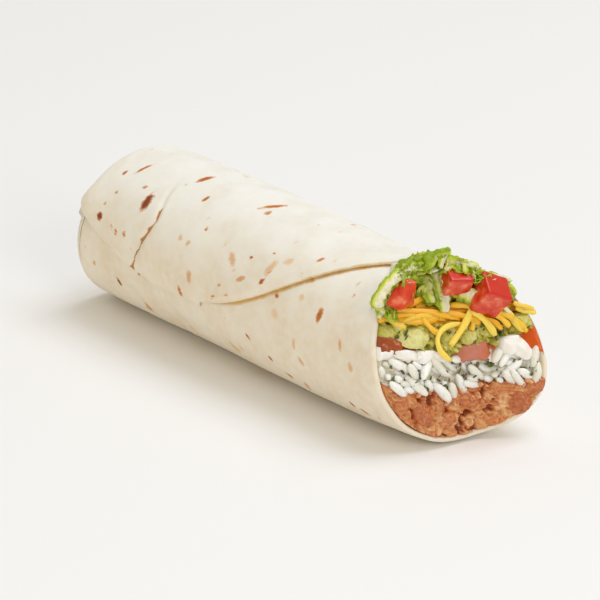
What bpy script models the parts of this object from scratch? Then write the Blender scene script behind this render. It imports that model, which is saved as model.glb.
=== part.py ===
"""Burrito rolled in one round flour tortilla, closed end at -X, open end at +X, resting on Z = 0.

The tortilla is a disc about 10 inches across, rolled 1.35 turns round its filling.  Its rear side is
folded in, its front edge is left open, and its last edge lies down the -Y flank as a rounded flap.
The filling lies in layers that run the whole length: beans, rice, sour cream, red sauce, guacamole,
cheese and lettuce, with three tomato dice at the mouth.
"""
import math

import bmesh
import bpy
from mathutils import Euler, Vector

# Tortilla sheet
SHEET_RADIUS = 0.127
SHEET_THICK = 0.0022
PLY_PITCH = 0.0025
SHEET_CENTRE_X = -0.0291
MEAN_ROLL_RADIUS = 0.030
# Angles run from the +Y side over the top, and go on past 360 for the outer turn.
CENTRE_LINE_DEG = 304.5
FIRST_DEG = CENTRE_LINE_DEG - 242.0
LAST_DEG = CENTRE_LINE_DEG + 242.5

# Roll
HALF_WIDTH = 0.03157
HALF_HEIGHT = 0.03097
AXIS_Y = 0.0004
AXIS_Z = 0.0279
REAR_X = -0.0965
REAR_LEAN = 0.17
REAR_ROUND = 0.007
REAR_SEAM_DEG = 165.0
CORNER_LIFT = 0.0009

# Filling
CLEARANCE = 0.0004
LAYER_GAP = 0.00035
FACE_CENTRE_X = 0.0856
HEAP_HEIGHT = 0.0095
FILL_REAR_X = REAR_X + REAR_ROUND + 0.001

# Mesh density
SHEET_COLUMNS, SHEET_ROWS, FOLD_ROWS = 70, 14, 4
FILL_ACROSS, FILL_ALONG = 14, 9


def bump(value, middle, width):
    return math.exp(-((value - middle) / width) ** 2)


def smooth(value):
    value = min(max(value, 0.0), 1.0)
    return value * value * (3 - 2 * value)


def signed_deg(angle, middle):
    return (angle - middle + 180) % 360 - 180


def sheet_edge_radius(bearing):
    """Hand-stretched dough is not quite round: bearing 0 points along +X on the flat sheet."""
    stretch = -0.0093 * bump(bearing, 48, 26) + 0.0045 * bump(bearing, 9, 9)
    stretch += -0.006 * bump(bearing, -17, 14) - 0.005 * bump(bearing, -5, 7)
    return SHEET_RADIUS + stretch + 0.016 * bump(bearing, -58, 16)


def sheet_edge_x(turn_deg, side):
    """Where the sheet ends along X at this turn angle, on its front (+1) or rear (-1) side."""
    across = math.radians(turn_deg - CENTRE_LINE_DEG) * MEAN_ROLL_RADIUS
    reach = math.sqrt(SHEET_RADIUS ** 2 - min(abs(across), 0.1263) ** 2)
    for _ in range(12):
        radius = sheet_edge_radius(math.degrees(math.atan2(across, side * reach)))
        reach = math.sqrt(max(radius ** 2 - across ** 2, 0.013 ** 2))
    return SHEET_CENTRE_X + side * reach


def roll_radius(turn_deg, x, flare=1.0):
    """Distance from the roll's axis to its outermost skin."""
    turn = math.radians(turn_deg)
    up = math.sin(turn)
    radius = HALF_WIDTH * HALF_HEIGHT / math.hypot(HALF_HEIGHT * math.cos(turn), HALF_WIDTH * up)
    radius += max(up, 0) * (0.001 * bump(x, -0.044, 0.038) - 0.0009 * bump(x, 0.044, 0.018))
    radius -= 0.0018 * smooth((x - 0.054) / 0.034) * max(-up, 0) ** 2
    open_lip = bump(signed_deg(turn_deg, 50), 0, 38)
    return radius + 0.0022 * flare * open_lip * smooth((x - 0.054) / 0.03)


def fold_x(turn_deg):
    """Where the sheet starts to turn in over the rear end, which leans a little."""
    turn = math.radians(turn_deg)
    return REAR_X + REAR_ROUND + REAR_LEAN * roll_radius(turn_deg, REAR_X) * math.sin(turn)


def sheet_point(turn_deg, along, inset):
    """A point on the rolled sheet, inset from the outer face of its own turn."""
    turn, fold = math.radians(turn_deg), fold_x(turn_deg)
    corner = smooth((turn_deg - 495) / 18) * smooth((fold + 0.014 - along) / 0.014)
    depth = PLY_PITCH * (LAST_DEG - turn_deg) / 360 + inset - CORNER_LIFT * corner
    skin = roll_radius(turn_deg, max(along, fold))
    x, radius = along, skin - depth
    if along < fold:
        bend = (fold - along) / REAR_ROUND
        x = fold - (REAR_ROUND - depth) * math.sin(bend)
        radius = skin - REAR_ROUND + (REAR_ROUND - depth) * math.cos(bend)
    z = AXIS_Z + radius * math.sin(turn)
    if z < inset:
        radius *= (AXIS_Z - inset) / (AXIS_Z - z)
        z = inset
    return Vector((x, AXIS_Y + radius * math.cos(turn), z))


def brick(across, along, layers):
    """A closed box of unit size with its sides cut into a grid, ready to be bent into shape."""
    mesh = bmesh.new()
    bmesh.ops.create_grid(mesh, x_segments=across, y_segments=along, size=0.5)
    bmesh.ops.translate(mesh, verts=mesh.verts, vec=(0.5, 0.5, 0))
    top = list(mesh.faces)
    for level in range(layers):
        covered = top
        grown = bmesh.ops.extrude_face_region(mesh, geom=top, use_keep_orig=True)["geom"]
        top = [item for item in grown if isinstance(item, bmesh.types.BMFace)]
        moved = {vert for face in top for vert in face.verts}
        bmesh.ops.translate(mesh, verts=list(moved), vec=(0, 0, 1 / layers))
        if level:
            bmesh.ops.delete(mesh, geom=covered, context="FACES_ONLY")
    return mesh


def finish(name, mesh, colour, roughness):
    """Close the mesh, face it outwards and give it its own material."""
    bmesh.ops.remove_doubles(mesh, verts=mesh.verts, dist=0.00001)
    bmesh.ops.dissolve_degenerate(mesh, dist=0.000005, edges=mesh.edges)
    loose = [edge for edge in mesh.edges if not edge.link_faces]
    bmesh.ops.delete(mesh, geom=loose, context="EDGES")
    bmesh.ops.triangulate(mesh, faces=mesh.faces)
    bmesh.ops.recalc_face_normals(mesh, faces=mesh.faces)
    data = bpy.data.meshes.new(name)
    mesh.to_mesh(data)
    mesh.free()
    made = bpy.data.objects.new(name, data)
    bpy.context.scene.collection.objects.link(made)
    material = bpy.data.materials.new(name)
    material.use_nodes = True
    shader = material.node_tree.nodes["Principled BSDF"]
    shader.inputs["Base Color"].default_value = (*colour, 1)
    shader.inputs["Roughness"].default_value = roughness
    shader.inputs["Metallic"].default_value = 0
    data.materials.append(material)
    return made


def use(target, helper, operation):
    """Join or cut the target with a helper that is not a piece of the food."""
    step = target.modifiers.new(helper.name, "BOOLEAN")
    step.operation = operation
    step.solver = "EXACT"
    step.object = helper
    helper.hide_render = True
    helper.display_type = "WIRE"


for old in list(bpy.data.objects):
    bpy.data.objects.remove(old, do_unlink=True)

# The rolled sheet: the first rows make the rear fold, and the rest crowd towards the mouth.
sheet = brick(SHEET_COLUMNS, SHEET_ROWS, 1)
for vert in sheet.verts:
    turn_deg = FIRST_DEG + (LAST_DEG - FIRST_DEG) * vert.co.x
    row, fold = round(vert.co.y * SHEET_ROWS), fold_x(turn_deg)
    rear, front = sheet_edge_x(turn_deg, -1), sheet_edge_x(turn_deg, 1)
    fold_row = min(row, FOLD_ROWS)
    along = max(fold - 1.5 * REAR_ROUND * (1 - fold_row / FOLD_ROWS), rear + 0.0004 * fold_row)
    share = max(row - FOLD_ROWS, 0) / (SHEET_ROWS - FOLD_ROWS)
    along += (front - along) * share ** 0.8
    vert.co = sheet_point(turn_deg, along, SHEET_THICK * vert.co.z)
tortilla = finish("tortilla", sheet, (0.83, 0.76, 0.62), 0.75)

# The rear side of the sheet, folded in over the filling before rolling, closes the end.
fold = bmesh.new()
outline = [(0, 0), (0, 0.3), (0, 0.6), (0, 0.85), (0, 1), (0.5, 1), (1, 1), (1, 0.6), (1, 0)]
corners = [fold.verts.new((side, 0, reach)) for side, reach in outline]
for start, end in zip(corners, corners[1:]):
    fold.edges.new((start, end))
bmesh.ops.rotate(fold, verts=fold.verts, cent=(0, 0, 0),
                 matrix=Euler((math.radians(REAR_SEAM_DEG - 90), 0, 0)).to_matrix())
bmesh.ops.spin(fold, geom=list(fold.verts) + list(fold.edges), cent=(0, 0, 0), axis=(1, 0, 0),
               angle=2 * math.pi, steps=40, use_merge=True)
bmesh.ops.remove_doubles(fold, verts=fold.verts, dist=0.0001)
for vert in fold.verts:
    inner, reach = vert.co.x, math.hypot(vert.co.y, vert.co.z)
    turn_deg = math.degrees(math.atan2(vert.co.z, vert.co.y))
    turn_deg = REAR_SEAM_DEG + (turn_deg - REAR_SEAM_DEG + 0.5) % 360 - 0.5
    turn = math.radians(turn_deg)
    skin = roll_radius(turn_deg, REAR_X)
    radius = reach * (skin - REAR_ROUND + 0.001 + 0.0056 * inner - 0.002 * inner ** 2)
    depth = PLY_PITCH * (LAST_DEG - turn_deg) / 360 + 0.0002
    dish = 0.002 * (1 - reach ** 2) + 0.0004 * reach * math.sin(5 * turn)
    face_x = REAR_ROUND - 0.0003 if inner > 0.5 else depth * reach ** 2 + dish * (reach < 0.99)
    if AXIS_Z + radius * math.sin(turn) < 0.0012:
        radius = (0.0012 - AXIS_Z) / math.sin(turn)
    x = REAR_X + face_x + REAR_LEAN * radius * math.sin(turn)
    vert.co = (x, AXIS_Y + radius * math.cos(turn), AXIS_Z + radius * math.sin(turn))
rear_fold = finish("rear_fold", fold, (0.83, 0.76, 0.62), 0.75)
use(tortilla, rear_fold, "UNION")


def wall_radius(turn_deg, x):
    """Distance from the roll's axis to the outside of the filling."""
    turn_deg = FIRST_DEG + (turn_deg - FIRST_DEG) % 360
    depth = PLY_PITCH * (LAST_DEG - turn_deg) / 360 + SHEET_THICK + CLEARANCE
    depth += PLY_PITCH * smooth((turn_deg - FIRST_DEG - 325) / 25)
    radius = roll_radius(turn_deg, x, flare=0) - depth
    down = -math.sin(math.radians(turn_deg))
    floor = AXIS_Z - SHEET_THICK - CLEARANCE
    return min(radius, floor / down) if down > 0.5 else radius


def inside(y, z, x):
    """Negative within the space left for the filling."""
    turn_deg = math.degrees(math.atan2(z - AXIS_Z, y - AXIS_Y))
    return math.hypot(y - AXIS_Y, z - AXIS_Z) - wall_radius(turn_deg, x)


def solve(test, low, high):
    """Bisect for the place where the test goes from negative to positive."""
    for _ in range(40):
        middle = (low + high) / 2
        if test(middle) < 0:
            low = middle
        else:
            high = middle
    return (low + high) / 2


def lip_x(turn_deg):
    """The front edge of the tortilla at this angle, taking the turn that reaches further."""
    turn_deg = FIRST_DEG + (turn_deg - FIRST_DEG) % 360
    lip = sheet_edge_x(turn_deg, 1)
    return max(lip, sheet_edge_x(turn_deg + 360, 1)) if turn_deg + 360 < LAST_DEG else lip


def mouth_x(y, z):
    """The open face: it follows the tortilla's front edge, and leans back towards the top."""
    turn_deg = math.degrees(math.atan2(z - AXIS_Z, y - AXIS_Y))
    lip = lip_x(turn_deg) + 0.0115 * bump(signed_deg(turn_deg, 90), 0, 36) - 0.0014
    reach = min(math.hypot(y - AXIS_Y, z - AXIS_Z) / 0.0275, 1.0)
    return FACE_CENTRE_X + (lip - FACE_CENTRE_X) * reach ** 1.6


def beans_top(y):
    return 0.0203 - 0.13 * y


def rice_top(y):
    return 0.0286 - 0.11 * y


def cream_top(y):
    return rice_top(y) + 0.0014 + 0.004 * bump(y, -0.024, 0.015) + 0.0062 * bump(y, 0.022, 0.0065)


def sauce_top(y):
    pools = 0.0016 * bump(y, -0.019, 0.006) + 0.0032 * bump(y, 0.011, 0.005)
    return cream_top(y) + 0.0013 + pools + 0.003 * bump(y, 0.031, 0.005)


def guacamole_top(y):
    return 0.0423 - 0.13 * y


def cheese_top(y):
    return 0.0472 - 0.15 * y


def station(share):
    """Shares of the length at which the layers are cut: closer together towards the mouth."""
    return 1 - (1 - share) ** 1.8


def level_grid(top):
    """One boundary between two layers, as rows of points from the -Y wall to the +Y wall."""
    grid = []
    for step in range(FILL_ALONG + 1):
        share = station(step / FILL_ALONG)
        row = []
        for place in range(FILL_ACROSS + 1):
            x = FILL_REAR_X
            for _ in range(4):
                left = solve(lambda y: inside(-y, top(-y), x), 0, 0.04)
                right = solve(lambda y: inside(y, top(y), x), 0, 0.04)
                y = -left + (left + right) * place / FILL_ACROSS
                front = mouth_x(y, top(y))
                rear = FILL_REAR_X + REAR_LEAN * (top(y) - AXIS_Z)
                x = rear + (front - rear) * share
            row.append(Vector((x, y, top(y))))
        grid.append(row)
    return grid


def edge_grid(level, direction):
    """The floor (-1) or ceiling (+1) of the filling, below or above one boundary."""
    grid = []
    for step, row in enumerate(level):
        share, made = station(step / FILL_ALONG), []
        for place, point in enumerate(row):
            end = point.copy()
            for _ in range(4 if 0 < place < FILL_ACROSS else 0):
                rise = solve(lambda h: inside(point.y, point.z + direction * h, end.x), 0, 0.06)
                end.z = point.z + direction * rise
                rear = FILL_REAR_X + REAR_LEAN * (end.z - AXIS_Z)
                end.x = rear + (mouth_x(end.y, end.z) - rear) * share
            made.append(end)
        grid.append(made)
    return grid


def heap_up(grid):
    """Past the tortilla's edge nothing holds the top of the filling down, so it stands proud."""
    for row in grid:
        for point in row[1:-1]:
            spoke = Vector((0, point.y - AXIS_Y, point.z - AXIS_Z)).normalized()
            turn_deg = math.degrees(math.atan2(spoke.z, spoke.y))
            free = smooth((point.x - lip_x(turn_deg) - 0.004) / 0.005)
            point += spoke * free * HEAP_HEIGHT * bump(signed_deg(turn_deg, 84), 0, 52)


def layer(name, low, high, rows, relief, colour, roughness, low_gap=LAYER_GAP / 2,
          high_gap=LAYER_GAP / 2):
    """The food between two boundaries, with its open face swelling out in lumps."""
    mesh = brick(FILL_ACROSS, FILL_ALONG, rows)
    for vert in mesh.verts:
        place, step = round(vert.co.x * FILL_ACROSS), round(vert.co.y * FILL_ALONG)
        up = vert.co.z
        bottom = low[step][place] + Vector((0, 0, low_gap))
        top = high[step][place] - Vector((0, 0, high_gap))
        if top.z < bottom.z:
            bottom = top = (bottom + top) / 2
        spot = bottom.lerp(top, up)
        if place in (0, FILL_ACROSS):
            turn_deg = math.degrees(math.atan2(spot.z - AXIS_Z, spot.y - AXIS_Y))
            turn, reach = math.radians(turn_deg), wall_radius(turn_deg, spot.x)
            spot.y, spot.z = AXIS_Y + reach * math.cos(turn), AXIS_Z + reach * math.sin(turn)
        if step == FILL_ALONG and 0 < place < FILL_ACROSS:
            lump = math.sin(0.9 * place + 2.1 * up + rows) * math.sin(1.7 * place - 3.3 * up)
            spot.x += relief * (lump + 0.6)
        vert.co = spot
    return finish(name, mesh, colour, roughness)


level_1, level_2 = level_grid(beans_top), level_grid(rice_top)
level_3, level_4 = level_grid(cream_top), level_grid(sauce_top)
level_5, level_6 = level_grid(guacamole_top), level_grid(cheese_top)
floor, ceiling = edge_grid(level_1, -1), edge_grid(level_6, 1)
heap_up(ceiling)

layer("beans", floor, level_1, 3, 0.0012, (0.42, 0.16, 0.08), 0.5, low_gap=0)
layer("rice", level_1, level_2, 2, 0.0012, (0.75, 0.72, 0.58), 0.5)
layer("sour_cream", level_2, level_3, 1, 0.0006, (0.93, 0.9, 0.87), 0.35)
layer("red_sauce", level_3, level_4, 1, 0.0003, (0.6, 0.12, 0.03), 0.25)
layer("guacamole", level_4, level_5, 2, 0.001, (0.42, 0.42, 0.08), 0.4)
cheese = layer("cheese", level_5, level_6, 2, 0.0015, (0.85, 0.45, 0.06), 0.45)
lettuce = layer("lettuce", level_6, ceiling, 3, 0.001, (0.28, 0.42, 0.04), 0.45, high_gap=0)


def diced(name, middle, size, turned):
    """One die of tomato with softened edges, and the room it takes up in the food round it."""
    for grown in (0.0, LAYER_GAP):
        mesh = bmesh.new()
        bmesh.ops.create_cube(mesh, size=1)
        bmesh.ops.scale(mesh, vec=[side + 2 * grown for side in size], verts=mesh.verts)
        bmesh.ops.bevel(mesh, geom=mesh.edges, offset=0.0009 + grown, segments=2, profile=0.5,
                        affect="EDGES", material=-1)
        bmesh.ops.rotate(mesh, verts=mesh.verts, matrix=Euler(turned).to_matrix())
        bmesh.ops.translate(mesh, verts=mesh.verts, vec=middle)
        made = finish(name if not grown else name + "_room", mesh, (0.6, 0.06, 0.02), 0.3)
        if grown:
            use(lettuce, made, "DIFFERENCE")
            use(cheese, made, "DIFFERENCE")


diced("tomato_left", (0.0730, -0.0098, 0.0518), (0.008, 0.0085, 0.009), (0.3, 0.5, 0.4))
diced("tomato_middle", (0.0790, 0.0062, 0.0528), (0.010, 0.010, 0.0085), (0.1, 0.5, -0.5))
diced("tomato_right", (0.0876, 0.0158, 0.0464), (0.011, 0.0115, 0.010), (-0.3, 0.35, 0.25))
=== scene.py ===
import math
import random

import bmesh
import bpy
import numpy
from mathutils import Euler, Matrix, Vector, noise


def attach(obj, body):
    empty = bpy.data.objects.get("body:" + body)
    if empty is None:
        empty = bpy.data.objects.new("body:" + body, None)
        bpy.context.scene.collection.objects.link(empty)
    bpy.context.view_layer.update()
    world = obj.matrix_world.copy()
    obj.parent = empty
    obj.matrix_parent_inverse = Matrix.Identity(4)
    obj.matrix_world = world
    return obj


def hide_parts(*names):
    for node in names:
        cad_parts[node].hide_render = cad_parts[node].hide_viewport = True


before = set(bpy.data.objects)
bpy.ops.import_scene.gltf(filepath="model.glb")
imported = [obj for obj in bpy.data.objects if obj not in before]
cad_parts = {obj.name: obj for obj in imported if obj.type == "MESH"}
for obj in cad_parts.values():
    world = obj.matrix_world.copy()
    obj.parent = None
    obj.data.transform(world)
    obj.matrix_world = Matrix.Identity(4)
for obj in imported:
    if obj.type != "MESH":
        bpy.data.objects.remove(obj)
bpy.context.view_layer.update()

# Camera, light and table: a long lens looks down on the near flank and the open end.
# One wide softbox hangs above, behind and to the right, and the pale room fills the shadows.
VIEW_TURN, VIEW_RISE = math.radians(51.84), math.radians(21)
AIM = Vector((0.00275, 0, 0.0254))
toward_lens = Vector((math.sin(VIEW_TURN) * math.cos(VIEW_RISE),
                      -math.cos(VIEW_TURN) * math.cos(VIEW_RISE), math.sin(VIEW_RISE)))
camera_data = bpy.data.cameras.new("camera")
camera_data.lens = 210
camera_data.sensor_width = 36
camera_data.clip_end = 50
camera = bpy.data.objects.new("camera", camera_data)
bpy.context.scene.collection.objects.link(camera)
camera.location = AIM + toward_lens * 1.21765
camera.rotation_euler = toward_lens.to_track_quat("Z", "Y").to_euler()
bpy.context.scene.camera = camera
bpy.context.scene.view_settings.view_transform = "Standard"


def softbox(name, place, size, power, colour):
    """A square area light that faces the burrito."""
    data = bpy.data.lights.new(name, "AREA")
    data.shape = "SQUARE"
    data.size = size
    data.energy = power
    data.color = colour
    made = bpy.data.objects.new(name, data)
    bpy.context.scene.collection.objects.link(made)
    made.location = place
    made.rotation_euler = (Vector(place) - AIM).to_track_quat("Z", "Y").to_euler()


softbox("overhead_softbox", (0.35, 0.75, 2.25), 1.6, 31, (0.82, 0.88, 1.0))
softbox("mouth_fill", (1.3, -0.3, 0.75), 0.5, 4.2, (1, 0.98, 0.95))
softbox("flank_fill", (0.1, -1.6, 0.45), 1.2, 2.2, (1, 0.85, 0.55))






def linear(code, alpha=1):
    """A colour given as sRGB hex, in linear light."""
    parts = [int(code[place:place + 2], 16) / 255 for place in (1, 3, 5)]
    made = [part / 12.92 if part < 0.04045 else ((part + 0.055) / 1.055) ** 2.4 for part in parts]
    return (*made, alpha)


def add(tree, kind, links=None, **settings):
    """Adds a node; links gives each input a value or another node's socket."""
    made = tree.nodes.new(kind)
    for name, value in settings.items():
        setattr(made, name, value)
    for name, value in (links or {}).items():
        socket = made.inputs[name]
        if isinstance(value, bpy.types.NodeSocket):
            tree.links.new(value, socket)
        else:
            socket.default_value = value
    return made


def fade(tree, factor, stops):
    """A colour ramp with the given (place, colour) stops."""
    made = add(tree, "ShaderNodeValToRGB", {"Fac": factor})
    ramp = made.color_ramp
    ramp.elements[0].position, ramp.elements[0].color = stops[0]
    ramp.elements[1].position, ramp.elements[1].color = stops[-1]
    for place, colour in stops[1:-1]:
        ramp.elements.new(place).color = colour
    return made.outputs["Color"]


def blank_material(name):
    """A material with only its Principled shader, and where a point is on the object, in metres."""
    material = bpy.data.materials.new(name)
    material.use_nodes = True
    tree = material.node_tree
    shader = tree.nodes["Principled BSDF"]
    place = add(tree, "ShaderNodeTexCoord").outputs["Object"]
    return material, tree, shader, place


room = bpy.data.worlds.new("room")
room.use_nodes = True
bpy.context.scene.world = room
room.node_tree.nodes["Background"].inputs["Color"].default_value = linear("#fffbee")
room.node_tree.nodes["Background"].inputs["Strength"].default_value = 0.53

# Matt laminate table top: nearly white, with a very faint grain.
table_mesh = bmesh.new()
bmesh.ops.create_grid(table_mesh, x_segments=2, y_segments=2, size=6)
table_data = bpy.data.meshes.new("table")
table_mesh.to_mesh(table_data)
table_mesh.free()
table = bpy.data.objects.new("table", table_data)
bpy.context.scene.collection.objects.link(table)
material, tree, shader, place = blank_material("matt_white_laminate")
grain = add(tree, "ShaderNodeTexNoise", {"Vector": place, "Scale": 3.0}).outputs["Fac"]
shade = fade(tree, grain, [(0.3, linear("#f5f3f1")), (0.7, linear("#f6f4f2"))])
tree.links.new(shade, shader.inputs["Base Color"])
shader.inputs["Roughness"].default_value = 0.9
shader.inputs["Specular IOR Level"].default_value = 0.1
table_data.materials.append(material)

# Tortilla: one soft wheat-flour disc about 10 inches across, pressed, griddled until it freckles,
# and rolled 1.35 turns round the filling with its rear side folded in and its front edge open.
# Angles run from the +Y side over the top, and go on past 360 for the outer turn.
SHEET_RADIUS = 0.127
SHEET_THICK = 0.0022
PLY_PITCH = 0.0025
SHEET_CENTRE_X = -0.0291
MEAN_ROLL_RADIUS = 0.030
CENTRE_LINE_DEG = 304.5
FIRST_DEG = CENTRE_LINE_DEG - 242.0
LAST_DEG = CENTRE_LINE_DEG + 242.5
HALF_WIDTH = 0.03157
HALF_HEIGHT = 0.03097
AXIS_Y = 0.0004
AXIS_Z = 0.0279
REAR_X = -0.0965
REAR_LEAN = 0.17
REAR_ROUND = 0.007
REAR_SEAM_DEG = 165.0
CORNER_LIFT = 0.0009
EDGE_ROUND = 0.0015
FLAP_TAPER = 0.0009
RIM_TAPER = 0.0004
SHEET_COLUMNS, SHEET_ROWS, FOLD_ROWS = 236, 190, 10


def bump(value, middle, width):
    return math.exp(-((value - middle) / width) ** 2)


def smooth(value):
    value = min(max(value, 0.0), 1.0)
    return value * value * (3 - 2 * value)


def signed_deg(angle, middle):
    return (angle - middle + 180) % 360 - 180


def sheet_edge_radius(bearing):
    """Hand-stretched dough is not quite round: bearing 0 points along +X on the flat sheet."""
    stretch = -0.0093 * bump(bearing, 48, 26) + 0.0045 * bump(bearing, 9, 9)
    stretch += -0.006 * bump(bearing, -17, 14) - 0.005 * bump(bearing, -5, 7)
    return SHEET_RADIUS + stretch + 0.016 * bump(bearing, -58, 16)


def sheet_edge_x(turn_deg, side):
    """Where the sheet ends along X at this turn angle, on its front (+1) or rear (-1) side."""
    across = math.radians(turn_deg - CENTRE_LINE_DEG) * MEAN_ROLL_RADIUS
    reach = math.sqrt(SHEET_RADIUS ** 2 - min(abs(across), 0.1263) ** 2)
    for _ in range(12):
        radius = sheet_edge_radius(math.degrees(math.atan2(across, side * reach)))
        reach = math.sqrt(max(radius ** 2 - across ** 2, 0.013 ** 2))
    return SHEET_CENTRE_X + side * reach


def crease_x(turn_deg):
    """A pinched fold line that runs down the near flank, a third of the way from the closed end."""
    return -0.051 + 0.004 * bump(turn_deg, 143, 15) - 0.004 * smooth((turn_deg - 160) / 30)


def soft_dents(turn_deg, x):
    """How far the soft dough stands in or out: broad hand-made waves, the crease and small puckers."""
    turn = math.radians(turn_deg)
    ring = Vector((x * 22, math.cos(turn) * 1.1, math.sin(turn) * 1.1))
    waves = 0.00055 * noise.noise(ring) + 0.00022 * noise.noise(ring * 2.7)
    angle = turn_deg % 360
    near = smooth((angle - 112) / 14) * smooth((180 - angle) / 16)
    waves -= 0.0007 * near * bump(x, crease_x(angle), 0.0011)
    waves += 0.0003 * near * bump(x, crease_x(angle) + 0.0026, 0.0018)
    low = smooth((angle - 188) / 18) * smooth((250 - angle) / 20)
    for pucker_x, slant in ((-0.058, 0.0004), (-0.037, -0.0003), (-0.016, 0.0002)):
        line = pucker_x + slant * (angle - 210) * 0.4
        waves -= 0.0006 * low * bump(x, line, 0.0013)
    return waves


def roll_radius(turn_deg, x, flare=1.0):
    """Distance from the roll's axis to its outermost skin."""
    turn = math.radians(turn_deg)
    up = math.sin(turn)
    radius = HALF_WIDTH * HALF_HEIGHT / math.hypot(HALF_HEIGHT * math.cos(turn), HALF_WIDTH * up)
    radius += max(up, 0) * (0.001 * bump(x, -0.044, 0.038) - 0.0009 * bump(x, 0.044, 0.018))
    radius -= 0.0018 * smooth((x - 0.054) / 0.034) * max(-up, 0) ** 2
    open_lip = bump(signed_deg(turn_deg, 50), 0, 38)
    return radius + 0.0022 * flare * open_lip * smooth((x - 0.054) / 0.03)


def fold_x(turn_deg):
    """Where the sheet starts to turn in over the rear end, which leans a little."""
    turn = math.radians(turn_deg)
    return REAR_X + REAR_ROUND + REAR_LEAN * roll_radius(turn_deg, REAR_X) * math.sin(turn)


def sheet_point(turn_deg, along, inset, fold):
    """A point on the rolled sheet, inset from the outer face of its own turn."""
    turn = math.radians(turn_deg)
    corner = smooth((turn_deg - 495) / 18) * smooth((fold + 0.014 - along) / 0.014)
    depth = PLY_PITCH * (LAST_DEG - turn_deg) / 360 + inset - CORNER_LIFT * corner
    settled = smooth((along - fold) / 0.004)
    skin = roll_radius(turn_deg, max(along, fold)) + settled * soft_dents(turn_deg, along)
    x, radius = along, skin - depth
    if along < fold:
        bend = (fold - along) / REAR_ROUND
        x = fold - (REAR_ROUND - depth) * math.sin(bend)
        radius = skin - REAR_ROUND + (REAR_ROUND - depth) * math.cos(bend)
    z = AXIS_Z + radius * math.sin(turn)
    if z < inset:
        radius *= (AXIS_Z - inset) / (AXIS_Z - z)
        z = inset
    return Vector((x, AXIS_Y + radius * math.cos(turn), z))


def brick(mesh, across, along, layers):
    """Adds a closed box of unit size with its sides cut into a grid, and returns its points."""
    made = bmesh.ops.create_grid(mesh, x_segments=across, y_segments=along, size=0.5)["verts"]
    bmesh.ops.translate(mesh, verts=made, vec=(0.5, 0.5, 0))
    points = list(made)
    top = list(dict.fromkeys(face for vert in made for face in vert.link_faces))
    for level in range(layers):
        covered = top
        grown = bmesh.ops.extrude_face_region(mesh, geom=top, use_keep_orig=True)["geom"]
        top = [item for item in grown if isinstance(item, bmesh.types.BMFace)]
        moved = [item for item in grown if isinstance(item, bmesh.types.BMVert)]
        bmesh.ops.translate(mesh, verts=moved, vec=(0, 0, 1 / layers))
        points += moved
        if level:
            bmesh.ops.delete(mesh, geom=covered, context="FACES_ONLY")
    return points


def piece(name, mesh, material, replaced):
    """Turns a finished bmesh into a piece of the food that stands for one of the CAD nodes."""
    bmesh.ops.recalc_face_normals(mesh, faces=mesh.faces)
    data = bpy.data.meshes.new(name)
    mesh.to_mesh(data)
    mesh.free()
    data.polygons.foreach_set("use_smooth", [True] * len(data.polygons))
    data.materials.append(material)
    made = bpy.data.objects.new(name, data)
    bpy.context.scene.collection.objects.link(made)
    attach(made, "root")
    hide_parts(replaced)
    return made


def near_edge_steps(step, steps, last):
    """Share of the way along the sheet's grid, with three narrow steps to round off each end."""
    narrow = (0, 0.2 * last, 0.5 * last, last)
    if step < 4:
        return narrow[step]
    if step > steps - 4:
        return 1 - narrow[steps - step]
    return last + (1 - 2 * last) * (step - 3) / (steps - 6)


sheet = bmesh.new()
columns = []
for step in range(SHEET_COLUMNS + 1):
    turn_deg = FIRST_DEG + (LAST_DEG - FIRST_DEG) * near_edge_steps(step, SHEET_COLUMNS, 0.0058)
    columns.append((turn_deg, fold_x(turn_deg), sheet_edge_x(turn_deg, -1), sheet_edge_x(turn_deg, 1)))
sheet_points = brick(sheet, SHEET_COLUMNS, SHEET_ROWS, 1)
places = []
for vert in sheet_points:
    turn_deg, fold, rear, front = columns[round(vert.co.x * SHEET_COLUMNS)]
    row = round(vert.co.y * SHEET_ROWS)
    fold_row = min(row, FOLD_ROWS)
    along = max(fold - 1.5 * REAR_ROUND * (1 - fold_row / FOLD_ROWS), rear + 0.0002 * fold_row)
    share = max(row - FOLD_ROWS, 0) / (SHEET_ROWS - FOLD_ROWS)
    span = front - along
    if row > SHEET_ROWS - 4:
        along = front - (0, 0.0003, 0.0007, 0.0013)[SHEET_ROWS - row]
    else:
        along += (span - 0.0018) * share / (1 - 4 / (SHEET_ROWS - FOLD_ROWS))
    edge = min(front - along, along - rear)
    edge = min(edge, math.radians(LAST_DEG - turn_deg) * 0.031)
    edge = min(edge, math.radians(turn_deg - FIRST_DEG) * 0.028)
    rounded = math.sqrt(1 - (1 - min(max(edge, 0) / EDGE_ROUND, 1)) ** 2)
    thick = SHEET_THICK * (0.35 + 0.65 * rounded)
    inset = (SHEET_THICK - thick) * 0.6 + thick * vert.co.z
    pressed = FLAP_TAPER if turn_deg > LAST_DEG - 190 else RIM_TAPER
    inset += pressed * (1 - smooth(edge / 0.006)) * (1 - vert.co.z)
    if turn_deg > FIRST_DEG + 360:
        inset += 0.00026 * (1 - smooth((front - along) / 0.008))
    places.append((turn_deg, along, 1 - vert.co.z, edge))
    vert.co = sheet_point(turn_deg, along, inset, fold)
sheet.verts.index_update()
order = [vert.index for vert in sheet_points]
places = numpy.array(places)[numpy.argsort(order)]

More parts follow.
